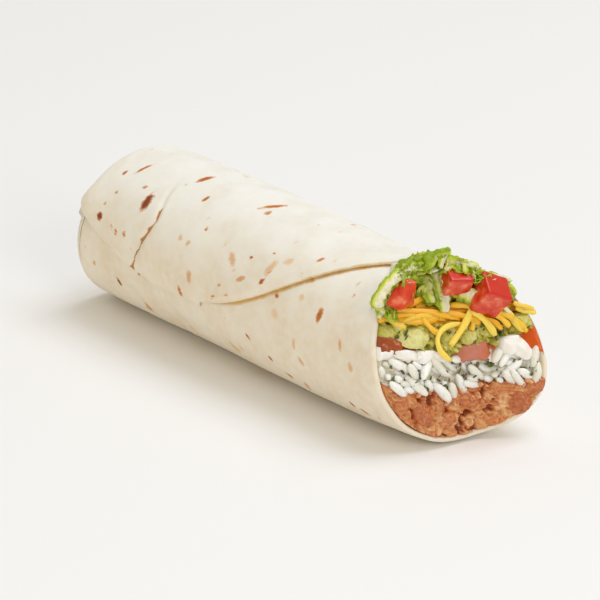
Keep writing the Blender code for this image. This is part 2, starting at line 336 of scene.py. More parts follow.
# Griddled wheat dough, cream-white, with painted light and shade: paler and cooler on top where the light falls,
# warmer and darker towards the underside. Freckles and blisters are toasted tan to dark brown, crisp at the rim and
# 1 to 8 mm long.
material, tree, shader, place = blank_material("griddled_flour_tortilla")
patches = add(tree, "ShaderNodeTexNoise", {"Vector": place, "Scale": 75, "Detail": 3}).outputs["Fac"]
mottle = add(tree, "ShaderNodeTexNoise", {"Vector": place, "Scale": 330, "Detail": 4}).outputs["Fac"]
flour = add(tree, "ShaderNodeTexNoise", {"Vector": place, "Scale": 1900, "Detail": 2}).outputs["Fac"]
axes = add(tree, "ShaderNodeSeparateXYZ", {"Vector": place})
# Painted light and shade: the dough colour goes from a warmer, darker tone low on the roll to a paler, cooler one
# on top, by height alone.
painted_top_light = add(tree, "ShaderNodeMapRange", {"Value": axes.outputs["Z"], "From Min": 0.03, "From Max": 0.062},
             interpolation_type="SMOOTHSTEP").outputs["Result"]
shaded_dough_colour = fade(tree, patches, [(0.35, linear("#ecdcc2")), (0.5, linear("#f0e2cb")), (0.68, linear("#f3e9d6"))])
lit_dough_colour = fade(tree, patches, [(0.35, linear("#f0eade")), (0.5, linear("#f5f1e8")), (0.68, linear("#f8f5ef"))])
dough = add(tree, "ShaderNodeMixRGB", {"Fac": painted_top_light, "Color1": shaded_dough_colour, "Color2": lit_dough_colour}).outputs["Color"]
speckle = fade(tree, mottle, [(0.4, (0, 0, 0, 1)), (0.72, (0.5, 0.5, 0.5, 1))])
dough = add(tree, "ShaderNodeMixRGB", {"Fac": speckle, "Color1": dough, "Color2": linear("#f6f1e6")})
dough = dough.outputs["Color"]
mark = add(tree, "ShaderNodeAttribute", attribute_name="mark").outputs["Fac"]
burn = add(tree, "ShaderNodeAttribute", attribute_name="burn").outputs["Fac"]
rough_rim = add(tree, "ShaderNodeTexNoise", {"Vector": place, "Scale": 620, "Detail": 3, "Roughness": 0.6})
field = add(tree, "ShaderNodeMath", {0: rough_rim.outputs["Fac"], 1: 0.55, 2: mark},
            operation="MULTIPLY_ADD")
toasted = fade(tree, field.outputs[0], [(0.68, (0, 0, 0, 1)), (0.76, (0.55, 0.55, 0.55, 1)), (0.92, (1, 1, 1, 1))])
strong = add(tree, "ShaderNodeMapRange", {"Value": burn, "From Min": 0.05, "From Max": 0.6, "To Min": 0.35})
toasted = add(tree, "ShaderNodeMath", {0: toasted, 1: strong.outputs["Result"]}, operation="MULTIPLY")
toasted = toasted.outputs[0]
deep = add(tree, "ShaderNodeMath", {0: burn, 1: field.outputs[0]}, operation="MULTIPLY")
brown = fade(tree, deep.outputs[0], [(0.15, linear("#ecca98")), (0.38, linear("#dc9f5c")),
                                     (0.62, linear("#c87632")), (0.86, linear("#aa5820")),
                                     (1.0, linear("#8c431a"))])
dough = add(tree, "ShaderNodeMixRGB", {"Fac": toasted, "Color1": dough, "Color2": brown}).outputs["Color"]
line = add(tree, "ShaderNodeAttribute", attribute_name="line").outputs["Fac"]
line_half = add(tree, "ShaderNodeAttribute", attribute_name="line_half").outputs["Fac"]
line_tone = add(tree, "ShaderNodeAttribute", attribute_name="line_tone").outputs["Fac"]
off = add(tree, "ShaderNodeMath", {0: line}, operation="ABSOLUTE").outputs[0]
within = add(tree, "ShaderNodeMath", {0: line_half, 1: off}, operation="SUBTRACT").outputs[0]
ragged = add(tree, "ShaderNodeMath", {0: mottle, 1: 0.6, 2: within}, operation="MULTIPLY_ADD").outputs[0]
# The crease and the flap's own front edge take toasted colour here; on the under ply below the flap's edges the
# same line also paints the edge's shadow.
toast_and_shadow_line = fade(tree, ragged, [(0.24, (0, 0, 0, 1)), (0.46, (0.55, 0.55, 0.55, 1)), (0.68, (0.95, 0.95, 0.95, 1))])
toast_and_shadow_colour = fade(tree, line_tone, [(0.1, linear("#e8ca8c")), (0.4, linear("#dba84c")), (0.7, linear("#b36c30")),
                               (1.0, linear("#8a451c"))])
dough = add(tree, "ShaderNodeMixRGB", {"Fac": toast_and_shadow_line, "Color1": dough, "Color2": toast_and_shadow_colour})
tree.links.new(dough.outputs["Color"], shader.inputs["Base Color"])
blisters = add(tree, "ShaderNodeTexVoronoi", {"Vector": place, "Scale": 170, "Smoothness": 0.8},
               feature="SMOOTH_F1").outputs["Distance"]
grit = add(tree, "ShaderNodeBump", {"Height": flour, "Strength": 0.12, "Distance": 0.0002})
puffed = add(tree, "ShaderNodeBump", {"Height": blisters, "Strength": 0.16, "Distance": 0.0009,
                                      "Normal": grit.outputs["Normal"]}, invert=True)
uneven = add(tree, "ShaderNodeBump", {"Height": mottle, "Strength": 0.2, "Distance": 0.0006,
                                      "Normal": puffed.outputs["Normal"]})
tree.links.new(uneven.outputs["Normal"], shader.inputs["Normal"])
dry = fade(tree, mottle, [(0.3, (0.62, 0.62, 0.62, 1)), (0.7, (0.8, 0.8, 0.8, 1))])
tree.links.new(dry, shader.inputs["Roughness"])
shader.inputs["Specular IOR Level"].default_value = 0.35
shader.inputs["Subsurface Weight"].default_value = 0.25
shader.inputs["Subsurface Radius"].default_value = (1.0, 0.65, 0.35)
shader.inputs["Subsurface Scale"].default_value = 0.0018
tortilla_material = material

tortilla = piece("rolled_tortilla", sheet, tortilla_material, "tortilla")

# Scorch marks, each as: x mm, angle, length mm, width mm, direction (0 along the roll), darkness.
# The first group is the marks that stand out, and the rest are small freckles.
scorches = [
    (-56.5, 136, 8.2, 4.0, 88, 1.00), (-77, 157, 3.4, 3.0, 70, 0.95), (-72, 114, 8.5, 1.5, -69, 0.62),
    (-43.5, 102, 7.6, 2.6, -72, 0.72), (-32.5, 117.5, 3.6, 1.7, -80, 0.7), (-78, 123, 2.6, 1.9, -76, 0.7),
    (-62.7, 127, 2.6, 1.4, -20, 0.6), (-74.5, 138, 1.8, 1.5, -40, 0.55), (-77, 148, 1.5, 1.3, 10, 0.6),
    (-65.5, 162, 3.4, 1.6, 68, 0.62), (-60.5, 161, 2.6, 2.0, 50, 0.55), (-69, 160, 2.0, 1.3, 45, 0.4),
    (-68.5, 174, 1.8, 1.3, 85, 0.35), (-82, 194, 3.0, 1.5, 125, 0.4), (-68, 201, 3.8, 1.8, 67, 0.95),
    (-53.6, 183, 3.6, 1.8, 80, 0.85), (-21.5, 136, 1.9, 1.6, -110, 0.55), (-24, 129, 1.5, 1.1, -50, 0.4),
    (-31, 148, 2.8, 2.0, 40, 0.3), (-26.5, 149, 2.4, 1.9, -45, 0.35), (-21, 168.5, 5.6, 2.4, 69, 0.38),
    (-26, 181, 4.2, 2.3, 74, 0.6), (-6.5, 174, 2.5, 1.7, -36, 0.55), (0.2, 169.5, 2.0, 1.7, -45, 0.4),
    (-2.6, 146.5, 6.2, 3.0, 43, 0.36), (5.8, 141, 1.9, 1.5, 0, 0.85), (15.7, 152, 3.3, 1.6, -79, 0.85),
    (5.3, 156, 4.2, 2.2, -26, 0.45), (-4.2, 165, 1.8, 1.6, 15, 0.45), (14.3, 132.5, 1.5, 1.2, 0, 0.6),
    (16.7, 142, 7.2, 3.4, -70, 0.3), (17.3, 143.5, 2.4, 1.4, 87, 0.62), (22.7, 133, 4.4, 2.8, -27, 0.26),
    (34, 123, 3.6, 1.8, -61, 0.55), (-6.4, 98.6, 10.6, 2.2, -52, 0.6), (-4.5, 106.5, 3.0, 2.2, -85, 0.55),
    (22.8, 156.5, 2.6, 2.0, 44, 0.8), (34.7, 137, 2.4, 1.6, -20, 0.85), (45.8, 157, 6.4, 2.6, 86, 0.66),
    (55.8, 134.7, 1.9, 1.5, -76, 0.5), (54, 125.5, 3.0, 1.3, -77, 0.3), (65, 132, 4.6, 1.7, -83, 0.5),
    (34.4, 151, 2.8, 2.6, 44, 0.28), (24.3, 168.7, 4.0, 3.2, 44, 0.2), (59.5, 169.7, 4.4, 1.8, 68, 0.42),
    (65.8, 181, 3.6, 2.4, 67, 0.36), (35.7, 183, 5.0, 1.8, 94, 0.32), (38.7, 194, 4.2, 2.2, 52, 0.35),
    (9.2, 195, 3.4, 1.3, 37, 0.75), (19.5, 205.5, 2.8, 1.7, 59, 0.85), (60, 216, 3.2, 1.9, 71, 0.75),
]
chance = random.Random(7)
for _ in range(150):
    angle = chance.uniform(-150, 195)
    size = chance.choice((1.4, 1.6, 1.8, 2.2, 2.8, 3.6, 5.0))
    freckle = (chance.uniform(-92, 82), angle, size * chance.uniform(1.0, 1.9), size * 0.8,
               chance.uniform(30, 110), chance.uniform(0.2, 0.8) * (1.15 - 0.1 * size))
    if angle < 82:
        scorches.append(freckle)
    elif size < 2:
        scorches.append((*freckle[:2], size, size * 0.8, freckle[4], 0.22))

turns, alongs, outer = places[:, 0], places[:, 1] * 1000, places[:, 2] > 0.5
mark, burn = numpy.zeros(len(turns)), numpy.full(len(turns), 0.3)
for x, angle, length, width, direction, dark in scorches:
    along_roll = alongs - x
    round_roll = numpy.radians((turns - angle + 180) % 360 - 180) * 31
    lean = math.radians(direction)
    far = (along_roll * math.cos(lean) + round_roll * math.sin(lean)) / (length / 2 + 0.1)
    wide = (round_roll * math.cos(lean) - along_roll * math.sin(lean)) / (width / 2 + 0.1)
    field = 0.95 - 0.5 * numpy.hypot(far, wide)
    burn = numpy.where(field > mark, dark, burn)
    mark = numpy.maximum(mark, field)
# The pinched fold and the flap's edges are lines: each point keeps its distance from the nearer one,
# so the line stays even. The dough under the flap's front edge took colour where it touched the griddle's rim, and
# its band there is also painted shadow of the flap's edge; the soft tan line under the rear edge is painted shadow
# only.
angle = turns % 360
fold_at = numpy.array([crease_x(value) * 1000 for value in angle])
pinch = numpy.clip((angle - 134) / 5, 0, 1) * numpy.clip((190 - angle) / 6, 0, 1)
fold_at += 0.3 * numpy.sin(angle * 0.62) + 0.15 * numpy.sin(angle * 1.45)
swell = 0.72 + 0.24 * numpy.sin(angle * 0.33 + 0.6) + 0.16 * numpy.sin(angle * 0.8)
swell = numpy.where(angle > 164, 0.46 + 1.2 * numpy.exp(-((angle - 181) / 2.4) ** 2), swell)
under = turns < LAST_DEG - 340


def off_edge(side):
    """Distance in mm from the flap's edge that lies over each point, positive where it is uncovered."""
    over = [numpy.array([sheet_edge_x(min(value, LAST_DEG - 360.3) + 360 + step, side) for value in turns])
            * 1000 for step in (0, 0.3)]
    slope = (over[1] - over[0]) / (math.radians(0.3) * 31)
    return side * (alongs - over[0]) / numpy.sqrt(1 + slope ** 2)


ahead = alongs > -34
lit = numpy.clip((alongs + 28) / 30, 0, 1) * numpy.clip((88 - alongs) / 14, 0, 1)
front_edge = (turns > 440) & (places[:, 3] < 0.003) & ahead
line = numpy.clip(alongs - fold_at, -6, 6)
half = pinch * swell * 1.1 + numpy.where(pinch > 0, 0, -9)
tone = numpy.full(len(turns), 0.62)
# Painted shadow: the under-ply band below the front flap edge is partly toasted colour and partly the edge's
# shadow, and the line below the rear edge is shadow only.
for here, distance, width, colour in (
        (under & ahead, off_edge(1) * 0.42 - 0.12, lit - 0.6, 0.12 + 0.22 * lit),
        (under & ~ahead, off_edge(-1) * 0.42 - 0.06, numpy.full(len(turns), 0.08), 0.1 + 0 * lit),
        (front_edge, places[:, 3] * 420, lit - 0.6, numpy.full(len(turns), 0.24))):
    line, half = numpy.where(here, distance, line), numpy.where(here, width, half)
    tone = numpy.where(here, colour, tone)
line = numpy.where(outer | under | front_edge, line, 9)
mark = mark * outer
for name, values in (("mark", mark), ("burn", burn), ("line", line), ("line_half", half), ("line_tone", tone)):
    tortilla.data.attributes.new(name, "FLOAT", "POINT").data.foreach_set("value", values)

# Closed end: the rear side of the same disc, tucked in over the filling before rolling. Its plies
# lie flat on each other, so the end shows two folded edges and a soft hollow.
tuck = bmesh.new()
outline = [(0, reach / 24) for reach in range(25)] + [(0.35, 1), (0.7, 1), (1, 1), (1, 0.6), (1, 0)]
corners = [tuck.verts.new((side, 0, reach)) for side, reach in outline]
for start, end in zip(corners, corners[1:]):
    tuck.edges.new((start, end))
bmesh.ops.rotate(tuck, verts=tuck.verts, cent=(0, 0, 0),
                 matrix=Euler((math.radians(REAR_SEAM_DEG - 90), 0, 0)).to_matrix())
bmesh.ops.spin(tuck, geom=list(tuck.verts) + list(tuck.edges), cent=(0, 0, 0), axis=(1, 0, 0),
               angle=2 * math.pi, steps=144, use_merge=True)
bmesh.ops.remove_doubles(tuck, verts=tuck.verts, dist=0.0001)
for vert in tuck.verts:
    inner, reach = vert.co.x, math.hypot(vert.co.y, vert.co.z)
    side, rise = vert.co.y, vert.co.z
    turn_deg = math.degrees(math.atan2(vert.co.z, vert.co.y))
    turn_deg = REAR_SEAM_DEG + (turn_deg - REAR_SEAM_DEG + 0.5) % 360 - 0.5
    turn = math.radians(turn_deg)
    skin = roll_radius(turn_deg, REAR_X)
    radius = reach * (skin - REAR_ROUND + 0.001 + 0.0056 * inner - 0.002 * inner ** 2)
    depth = PLY_PITCH * (LAST_DEG - turn_deg) / 360 + 0.0002
    rim = smooth((1 - reach) / 0.12)
    folds = -0.0011 * smooth((side * 0.8 + rise * 0.5 + 0.12 * math.sin(3 * rise) + 0.1) / 0.05)
    folds -= 0.0009 * smooth((rise - side * 0.7 - 0.25 + 0.1 * side * side) / 0.05)
    folds += 0.0006 * noise.noise(Vector((side * 3, rise * 3, 4.2)))
    dish = 0.0026 * (1 - reach ** 2) + (folds + 0.0008) * rim
    face_x = REAR_ROUND - 0.0003 if inner > 0.5 else depth * reach ** 2 + dish * (reach < 0.99)
    if AXIS_Z + radius * math.sin(turn) < 0.0012:
        radius = (0.0012 - AXIS_Z) / math.sin(turn)
    x = REAR_X + face_x + REAR_LEAN * radius * math.sin(turn)
    vert.co = (x, AXIS_Y + radius * math.cos(turn), AXIS_Z + radius * math.sin(turn))
tucked = piece("tucked_end", tuck, tortilla_material, "tortilla")
marks = tucked.data.attributes.new("mark", "FLOAT", "POINT")
tucked.data.attributes.new("line_half", "FLOAT", "POINT").data.foreach_set(
    "value", [-9.0] * len(tucked.data.vertices))
burns = tucked.data.attributes.new("burn", "FLOAT", "POINT")
spots = [(chance.uniform(-24, 24), chance.uniform(6, 52), chance.uniform(0.8, 2.4), chance.uniform(0.3, 0.8))
         for _ in range(16)]
for index, vert in enumerate(tucked.data.vertices):
    best, tone = 0.0, 0.3
    for y, z, size, dark in spots:
        field = 0.9 - 0.45 * math.hypot(vert.co.y * 1000 - y, (vert.co.z * 1000 - z) * 0.7) / size
        if field > best:
            best, tone = field, dark
    marks.data[index].value = best
    burns.data[index].value = tone

# Filling: the layers follow one another upwards and run the whole length of the roll. Each is one
# body, and its open face at the mouth is where the food shows.
CLEARANCE = 0.00012
LAYER_GAP = 0.0002
FACE_CENTRE_X = 0.0856
FILL_REAR_X = REAR_X + REAR_ROUND + 0.001
FILL_ACROSS, FILL_ALONG = 156, 9


def wall_radius(turn_deg, x):
    """Distance from the roll's axis to the outside of the filling."""
    turn_deg = FIRST_DEG + (turn_deg - FIRST_DEG) % 360
    depth = PLY_PITCH * (LAST_DEG - turn_deg) / 360 + SHEET_THICK + CLEARANCE
    depth += PLY_PITCH * smooth((turn_deg - FIRST_DEG - 325) / 25)
    radius = roll_radius(turn_deg, x) - depth
    down = -math.sin(math.radians(turn_deg))
    floor = AXIS_Z - SHEET_THICK - CLEARANCE
    return min(radius, floor / down) if down > 0.5 else radius


def inside(y, z, x):
    """Negative within the space left for the filling."""
    turn_deg = math.degrees(math.atan2(z - AXIS_Z, y - AXIS_Y))
    return math.hypot(y - AXIS_Y, z - AXIS_Z) - wall_radius(turn_deg, x)


def solve(test, low, high):
    """Bisect for the place where the test goes from negative to positive."""
    for _ in range(18):
        middle = (low + high) / 2
        if test(middle) < 0:
            low = middle
        else:
            high = middle
    return (low + high) / 2


lips = []
for degree in range(360):
    turn_deg = FIRST_DEG + (degree - FIRST_DEG) % 360
    lip = sheet_edge_x(turn_deg, 1)
    lips.append(max(lip, sheet_edge_x(turn_deg + 360, 1)) if turn_deg + 360 < LAST_DEG else lip)


def lip_x(turn_deg):
    """The front edge of the tortilla at this angle, taking the turn that reaches further."""
    low = math.floor(turn_deg)
    share = turn_deg - low
    return lips[low % 360] * (1 - share) + lips[(low + 1) % 360] * share


def mouth_x(y, z):
    """The open face: it follows the tortilla's front edge, and leans back towards the top."""
    turn_deg = math.degrees(math.atan2(z - AXIS_Z, y - AXIS_Y))
    lip = lip_x(turn_deg) + 0.0115 * bump(signed_deg(turn_deg, 90), 0, 36) - 0.0007
    reach = min(math.hypot(y - AXIS_Y, z - AXIS_Z) / 0.0275, 1.0)
    return FACE_CENTRE_X + (lip - FACE_CENTRE_X) * reach ** 1.6


def profile(y, knots):
    """A boundary's height in metres, read smoothly between given (y, z) places in mm."""
    y *= 1000
    for (low_y, low_z), (high_y, high_z) in zip(knots, knots[1:]):
        if y <= high_y:
            share = smooth((y - low_y) / (high_y - low_y))
            return (low_z + (high_z - low_z) * share) / 1000
    return knots[-1][1] / 1000


def beans_top(y):
    return profile(y, [(-28, 26), (-21, 22.8), (-11, 20.8), (-2, 19.3), (5, 20.2), (15, 20), (30, 20.6)])


def rice_top(y):
    return profile(y, [(-28, 32.6), (-17, 31.3), (-5, 30.4), (1, 28.6), (12, 28.2), (16, 28.6), (21, 26.4),
                       (26, 28), (30, 28.6)])


def cream_top(y):
    return profile(y, [(-28, 37.2), (-19, 34.8), (-9, 33.6), (-3, 31.2), (1, 29), (12, 28.6), (15.4, 29),
                       (17.4, 33.6), (22.6, 33.8), (24.8, 29.4), (31, 29.4)])


def sauce_top(y):
    return profile(y, [(-28, 40.4), (-21, 38.8), (-16, 36.2), (-9, 34.2), (-3, 31.7), (0, 31.6), (3, 32.9),
                       (12, 33.2), (14.5, 32), (17.4, 34.2), (22.6, 34.6), (26, 36), (31, 35.6)])


def guacamole_top(y):
    return profile(y, [(-28, 45), (-15, 42.8), (0, 41.2), (15, 39.8), (30, 40)])


def cheese_top(y):
    return profile(y, [(-26, 48.8), (-10, 47.6), (5, 46.8), (15, 45.4), (30, 43.6)])


def station(share):
    """Shares of the length at which the layers are cut: closer together towards the mouth."""
    return 1 - (1 - share) ** 1.8


def level_grid(top):
    """One boundary between two layers, as rows of points from the -Y wall to the +Y wall."""
    grid = []
    for step in range(FILL_ALONG + 1):
        share = station(step / FILL_ALONG)
        row = []
        for place in range(FILL_ACROSS + 1):
            x = row[-1].x if row else FILL_REAR_X
            for _ in range(2 if row else 4):
                left = solve(lambda y: inside(-y, top(-y), x), 0, 0.04)
                right = solve(lambda y: inside(y, top(y), x), 0, 0.04)
                y = -left + (left + right) * place / FILL_ACROSS
                front = mouth_x(y, top(y))
                rear = FILL_REAR_X + REAR_LEAN * (top(y) - AXIS_Z)
                x = rear + (front - rear) * share
            row.append(Vector((x, y, top(y))))
        grid.append(row)
    return grid


def edge_grid(level, direction):
    """The floor (-1) or ceiling (+1) of the filling, below or above one boundary."""
    grid = []
    for step, row in enumerate(level):
        share, made = station(step / FILL_ALONG), []
        for place, point in enumerate(row):
            end = point.copy()
            for _ in range(3 if 0 < place < FILL_ACROSS else 0):
                rise = solve(lambda h: inside(point.y, point.z + direction * h, end.x), 0, 0.06)
                end.z = point.z + direction * rise
                rear = FILL_REAR_X + REAR_LEAN * (end.z - AXIS_Z)
                end.x = rear + (mouth_x(end.y, end.z) - rear) * share
            made.append(end)
        grid.append(made)
    return grid


def layer(low, high, rows, relief, low_gap=LAYER_GAP / 2, high_gap=LAYER_GAP / 2, crown=0):
    """The food between two boundaries; relief(y, z) is how far its open face stands out, and a tone."""
    mesh = bmesh.new()
    proud = mesh.verts.layers.float.new("proud")
    shade = mesh.verts.layers.float.new("tone")
    for vert in brick(mesh, FILL_ACROSS, FILL_ALONG, rows):
        place, step = round(vert.co.x * FILL_ACROSS), round(vert.co.y * FILL_ALONG)
        up = vert.co.z
        bottom = low[step][place] + Vector((0, 0, low_gap))
        top = high[step][place] - Vector((0, 0, high_gap))
        if top.z < bottom.z:
            bottom = top = (bottom + top) / 2
        spot = bottom.lerp(top, up)
        if place in (0, FILL_ACROSS):
            turn_deg = math.degrees(math.atan2(spot.z - AXIS_Z, spot.y - AXIS_Y))
            turn, reach = math.radians(turn_deg), wall_radius(turn_deg, spot.x)
            spot.y, spot.z = AXIS_Y + reach * math.cos(turn), AXIS_Z + reach * math.sin(turn)
        if step == FILL_ALONG:
            height, vert[shade] = relief(spot.y * 1000, spot.z * 1000)
            vert[proud] = height
            spot.x += height / 1000
            spot.z += crown * (up - 0.5) * height / 1000
        vert.co = spot
    bmesh.ops.remove_doubles(mesh, verts=mesh.verts, dist=0.00001)
    bmesh.ops.dissolve_degenerate(mesh, dist=0.000005, edges=mesh.edges)
    return mesh


def lumps(seed, count, sizes, heights, y_span, z_span):
    """A seeded scatter of lumps on the open face: (y, z, size, height, slant, narrowness, tone), in mm."""
    dice = random.Random(seed)
    return [(dice.uniform(*y_span), dice.uniform(*z_span), dice.uniform(*sizes), dice.uniform(*heights),
             dice.uniform(0, math.pi), dice.uniform(0.6, 1), dice.uniform(0.15, 0.95)) for _ in range(count)]


def highest(y, z, scatter):
    """Height and tone of whichever lump stands highest here, so that creases run between them."""
    best, tone = 0.0, 0.4
    for middle_y, middle_z, size, height, slant, narrow, shade in scatter:
        side, rise = y - middle_y, z - middle_z
        if abs(side) < size and abs(rise) < size:
            far = (side * math.cos(slant) + rise * math.sin(slant)) / size
            wide = (rise * math.cos(slant) - side * math.sin(slant)) / (size * narrow)
            here = height * math.sqrt(max(1 - far * far - wide * wide, 0))
            if here > best:
                best, tone = here, shade
    return best, tone


level_1, level_2 = level_grid(beans_top), level_grid(rice_top)
level_3, level_4 = level_grid(cream_top), level_grid(sauce_top)
level_5, level_6 = level_grid(guacamole_top), level_grid(cheese_top)
floor, ceiling = edge_grid(level_1, -1), edge_grid(level_6, 1)

# Beans: refried pinto beans, mashed rough, so whole beans and torn skins stand out of a moist paste.
bean_lumps = lumps(3, 120, (1.6, 3.4), (1.2, 2.8), (-29, 30), (2, 25))
bean_lumps += lumps(4, 620, (0.5, 1.4), (1.0, 2.8), (-30, 31), (2, 26))
bean_lumps += [(-13.5, 13, 5.4, 3.4, 1.9, 0.6, 0.1), (-4.5, 9, 4.8, 3.0, 0.4, 0.6, 0.3),
               (19.5, 12.5, 5.4, 3.8, 1.5, 0.6, 0.02), (4.5, 14, 5.0, 3.0, 2.6, 0.62, 0.2),
               (11.5, 6.8, 4.6, 3.0, 0.1, 0.6, 0.35), (25.5, 18.5, 4.6, 3.0, 0.8, 0.62, 0.12),
               (-20, 17.5, 4.8, 2.8, 1.2, 0.6, 0.28), (-2.5, 17, 4.4, 2.6, 1.2, 0.6, 0.15)]


def bean_relief(y, z):
    height, tone = highest(y, z, bean_lumps)
    fine = noise.noise(Vector((y * 1.1, z * 1.1, 1)))
    return height + 0.7 * fine - 1.0, 0.5 + 0.75 * (tone - 0.5) + 0.3 * fine


beans = layer(floor, level_1, 60, bean_relief, low_gap=0)
# Refried beans: reddish-brown paste, wet enough to shine on each lump; skins are redder and darker.
material, tree, shader, place = blank_material("refried_pinto_beans")
proud = add(tree, "ShaderNodeAttribute", attribute_name="proud").outputs["Fac"]
tone = add(tree, "ShaderNodeAttribute", attribute_name="tone").outputs["Fac"]
paste = add(tree, "ShaderNodeTexNoise", {"Vector": place, "Scale": 1300, "Detail": 4}).outputs["Fac"]
mash = fade(tree, tone, [(0.0, linear("#a6471c")), (0.25, linear("#c0662f")), (0.5, linear("#d58a4a")),
                         (0.8, linear("#e6b076")), (1.0, linear("#f2cc9f"))])
specks = fade(tree, paste, [(0.35, linear("#b35f2c")), (0.65, linear("#ecc094"))])
mash = add(tree, "ShaderNodeMixRGB", {"Fac": 0.22, "Color1": mash, "Color2": specks}).outputs["Color"]
# Painted shade: the mash is darkened towards deep red-brown where its face sinks between the lumps.
height = add(tree, "ShaderNodeMapRange", {"Value": proud, "From Min": -1.0, "From Max": 2.0}).outputs["Result"]
painted_crease_shade = fade(tree, height, [(0.0, linear("#8c451c")), (0.3, linear("#e0ae84")), (0.55, (1, 1, 1, 1))])
mash = add(tree, "ShaderNodeMixRGB", {"Fac": 0.9, "Color1": mash, "Color2": painted_crease_shade}, blend_type="MULTIPLY")
tree.links.new(mash.outputs["Color"], shader.inputs["Base Color"])
relief = add(tree, "ShaderNodeBump", {"Height": paste, "Strength": 0.35, "Distance": 0.0005})
tree.links.new(relief.outputs["Normal"], shader.inputs["Normal"])
shader.inputs["Roughness"].default_value = 0.27
shader.inputs["IOR"].default_value = 1.45
shader.inputs["Subsurface Weight"].default_value = 0.15
shader.inputs["Subsurface Radius"].default_value = (1.0, 0.4, 0.2)
shader.inputs["Subsurface Scale"].default_value = 0.0012
piece("refried_beans", beans, material, "beans")

# Rice: long-grain rice boiled with chopped herbs. The grains lie loose over a packed core.
def rice_relief(y, z):
    return -1.2 + 0.8 * noise.noise(Vector((y * 0.4, z * 0.4, 2))), 0.5


rice = layer(level_1, level_2, 16, rice_relief)
material, tree, shader, place = blank_material("boiled_rice_core")
pack = add(tree, "ShaderNodeTexNoise", {"Vector": place, "Scale": 420, "Detail": 3}).outputs["Fac"]
tree.links.new(fade(tree, pack, [(0.3, linear("#c2b698")), (0.45, linear("#e4ddc9")), (0.68, linear("#f4f1e6"))]),
               shader.inputs["Base Color"])
relief = add(tree, "ShaderNodeBump", {"Height": pack, "Strength": 0.8, "Distance": 0.001})
tree.links.new(relief.outputs["Normal"], shader.inputs["Normal"])
shader.inputs["Roughness"].default_value = 0.5
piece("rice_core", rice, material, "rice")


def on_face(y, z, out):
    """A point given in mm on the open face, standing out of it along +X."""
    return Vector((mouth_x(y / 1000, z / 1000) + out / 1000, y / 1000, z / 1000))


def grain(mesh, middle, lie, length, width, curve, tone):
    """One cooked grain: a blunt, slightly bent capsule a few dozen faces fine."""
    made = bmesh.ops.create_uvsphere(mesh, u_segments=8, v_segments=7, radius=1)["verts"]
    layer_tone = mesh.verts.layers.float["tone"]
    for vert in made:
        reach = abs(vert.co.z)
        blunt = math.sqrt((1 - min(reach, 0.999) ** 2.6) / (1 - min(reach, 0.999) ** 2))
        side = vert.co.x * blunt * width / 2 + curve * (1 - vert.co.z ** 2)
        vert.co = Vector((side, vert.co.y * blunt * width * 0.4, vert.co.z * length / 2))
        vert.co += Vector((1, 1, 0.5)) * 0.00022 * noise.noise(vert.co * 420 + middle * 900)
        vert[layer_tone] = tone
    bmesh.ops.transform(mesh, verts=made, matrix=Matrix.Translation(middle) @ lie.to_4x4())


grains = bmesh.new()
grains.verts.layers.float.new("tone")
chance = random.Random(21)
taken = numpy.zeros((0, 3))
for attempt in range(9000):
    y = chance.uniform(-29.5, 30)
    z = chance.uniform(beans_top(y / 1000) * 1000 - 0.6, rice_top(y / 1000) * 1000 + 1.0)
    length = chance.uniform(8.8, 11.6)
    width = chance.uniform(3.2, 4.1)
    out = -2.6 + 3.6 * (attempt / 9000) ** 0.8 + chance.uniform(-0.3, 0.3)
    slant = chance.uniform(105, 165) if y < 8 or chance.random() < 0.4 else chance.uniform(-25, 60)
    if chance.random() < 0.22:
        slant = chance.uniform(-30, 80)
    lie = Euler((math.radians(slant - 90), chance.uniform(-0.5, 0.5), 0)).to_matrix()
    lie = Euler((0, 0, chance.uniform(-0.45, 0.45))).to_matrix() @ lie
    middle = on_face(y, z, out)
    axis = lie @ Vector((0, 0, 1))
    ends = numpy.array([middle + axis * length * share / 1000 for share in (-0.38, -0.19, 0, 0.19, 0.38)])
    low, high = ends[:, 2].min() * 1000, ends[:, 2].max() * 1000
    ends_y = ends[:, 1].min() * 1000, ends[:, 1].max() * 1000
    if low < beans_top(y / 1000) * 1000 - 3.4 or high > rice_top(y / 1000) * 1000 + 2.6:
        continue
    if max(inside(end[1], end[2], 0.08) for end in (ends[0], ends[4])) > -0.0006:
        continue
    if len(taken) and numpy.min(numpy.linalg.norm(taken[:, None] - ends[None], axis=2)) < 0.0019:
        continue
    taken = numpy.vstack([taken, ends])
    grain(grains, middle, lie, length / 1000, width / 1000, chance.uniform(-0.6, 0.6) / 1000,
          chance.random())
# Boiled white rice: translucent ivory with a moist skin; herb juice stains a few grains.
material, tree, shader, place = blank_material("boiled_long_grain_rice")
tone = add(tree, "ShaderNodeAttribute", attribute_name="tone").outputs["Fac"]
cloud = add(tree, "ShaderNodeTexNoise", {"Vector": place, "Scale": 500, "Detail": 2}).outputs["Fac"]
body = fade(tree, tone, [(0.0, linear("#e9e6d6")), (0.25, linear("#f3f1e8")), (1.0, linear("#faf9f4"))])
stain = fade(tree, cloud, [(0.55, (0, 0, 0, 1)), (0.8, (0.5, 0.5, 0.5, 1))])
body = add(tree, "ShaderNodeMixRGB", {"Fac": stain, "Color1": body, "Color2": linear("#d8d0a4")})
tree.links.new(body.outputs["Color"], shader.inputs["Base Color"])
shader.inputs["Roughness"].default_value = 0.36
shader.inputs["IOR"].default_value = 1.45
shader.inputs["Subsurface Weight"].default_value = 0.4
shader.inputs["Subsurface Radius"].default_value = (1.0, 0.9, 0.7)
shader.inputs["Subsurface Scale"].default_value = 0.0012
piece("rice_grains", grains, material, "rice")


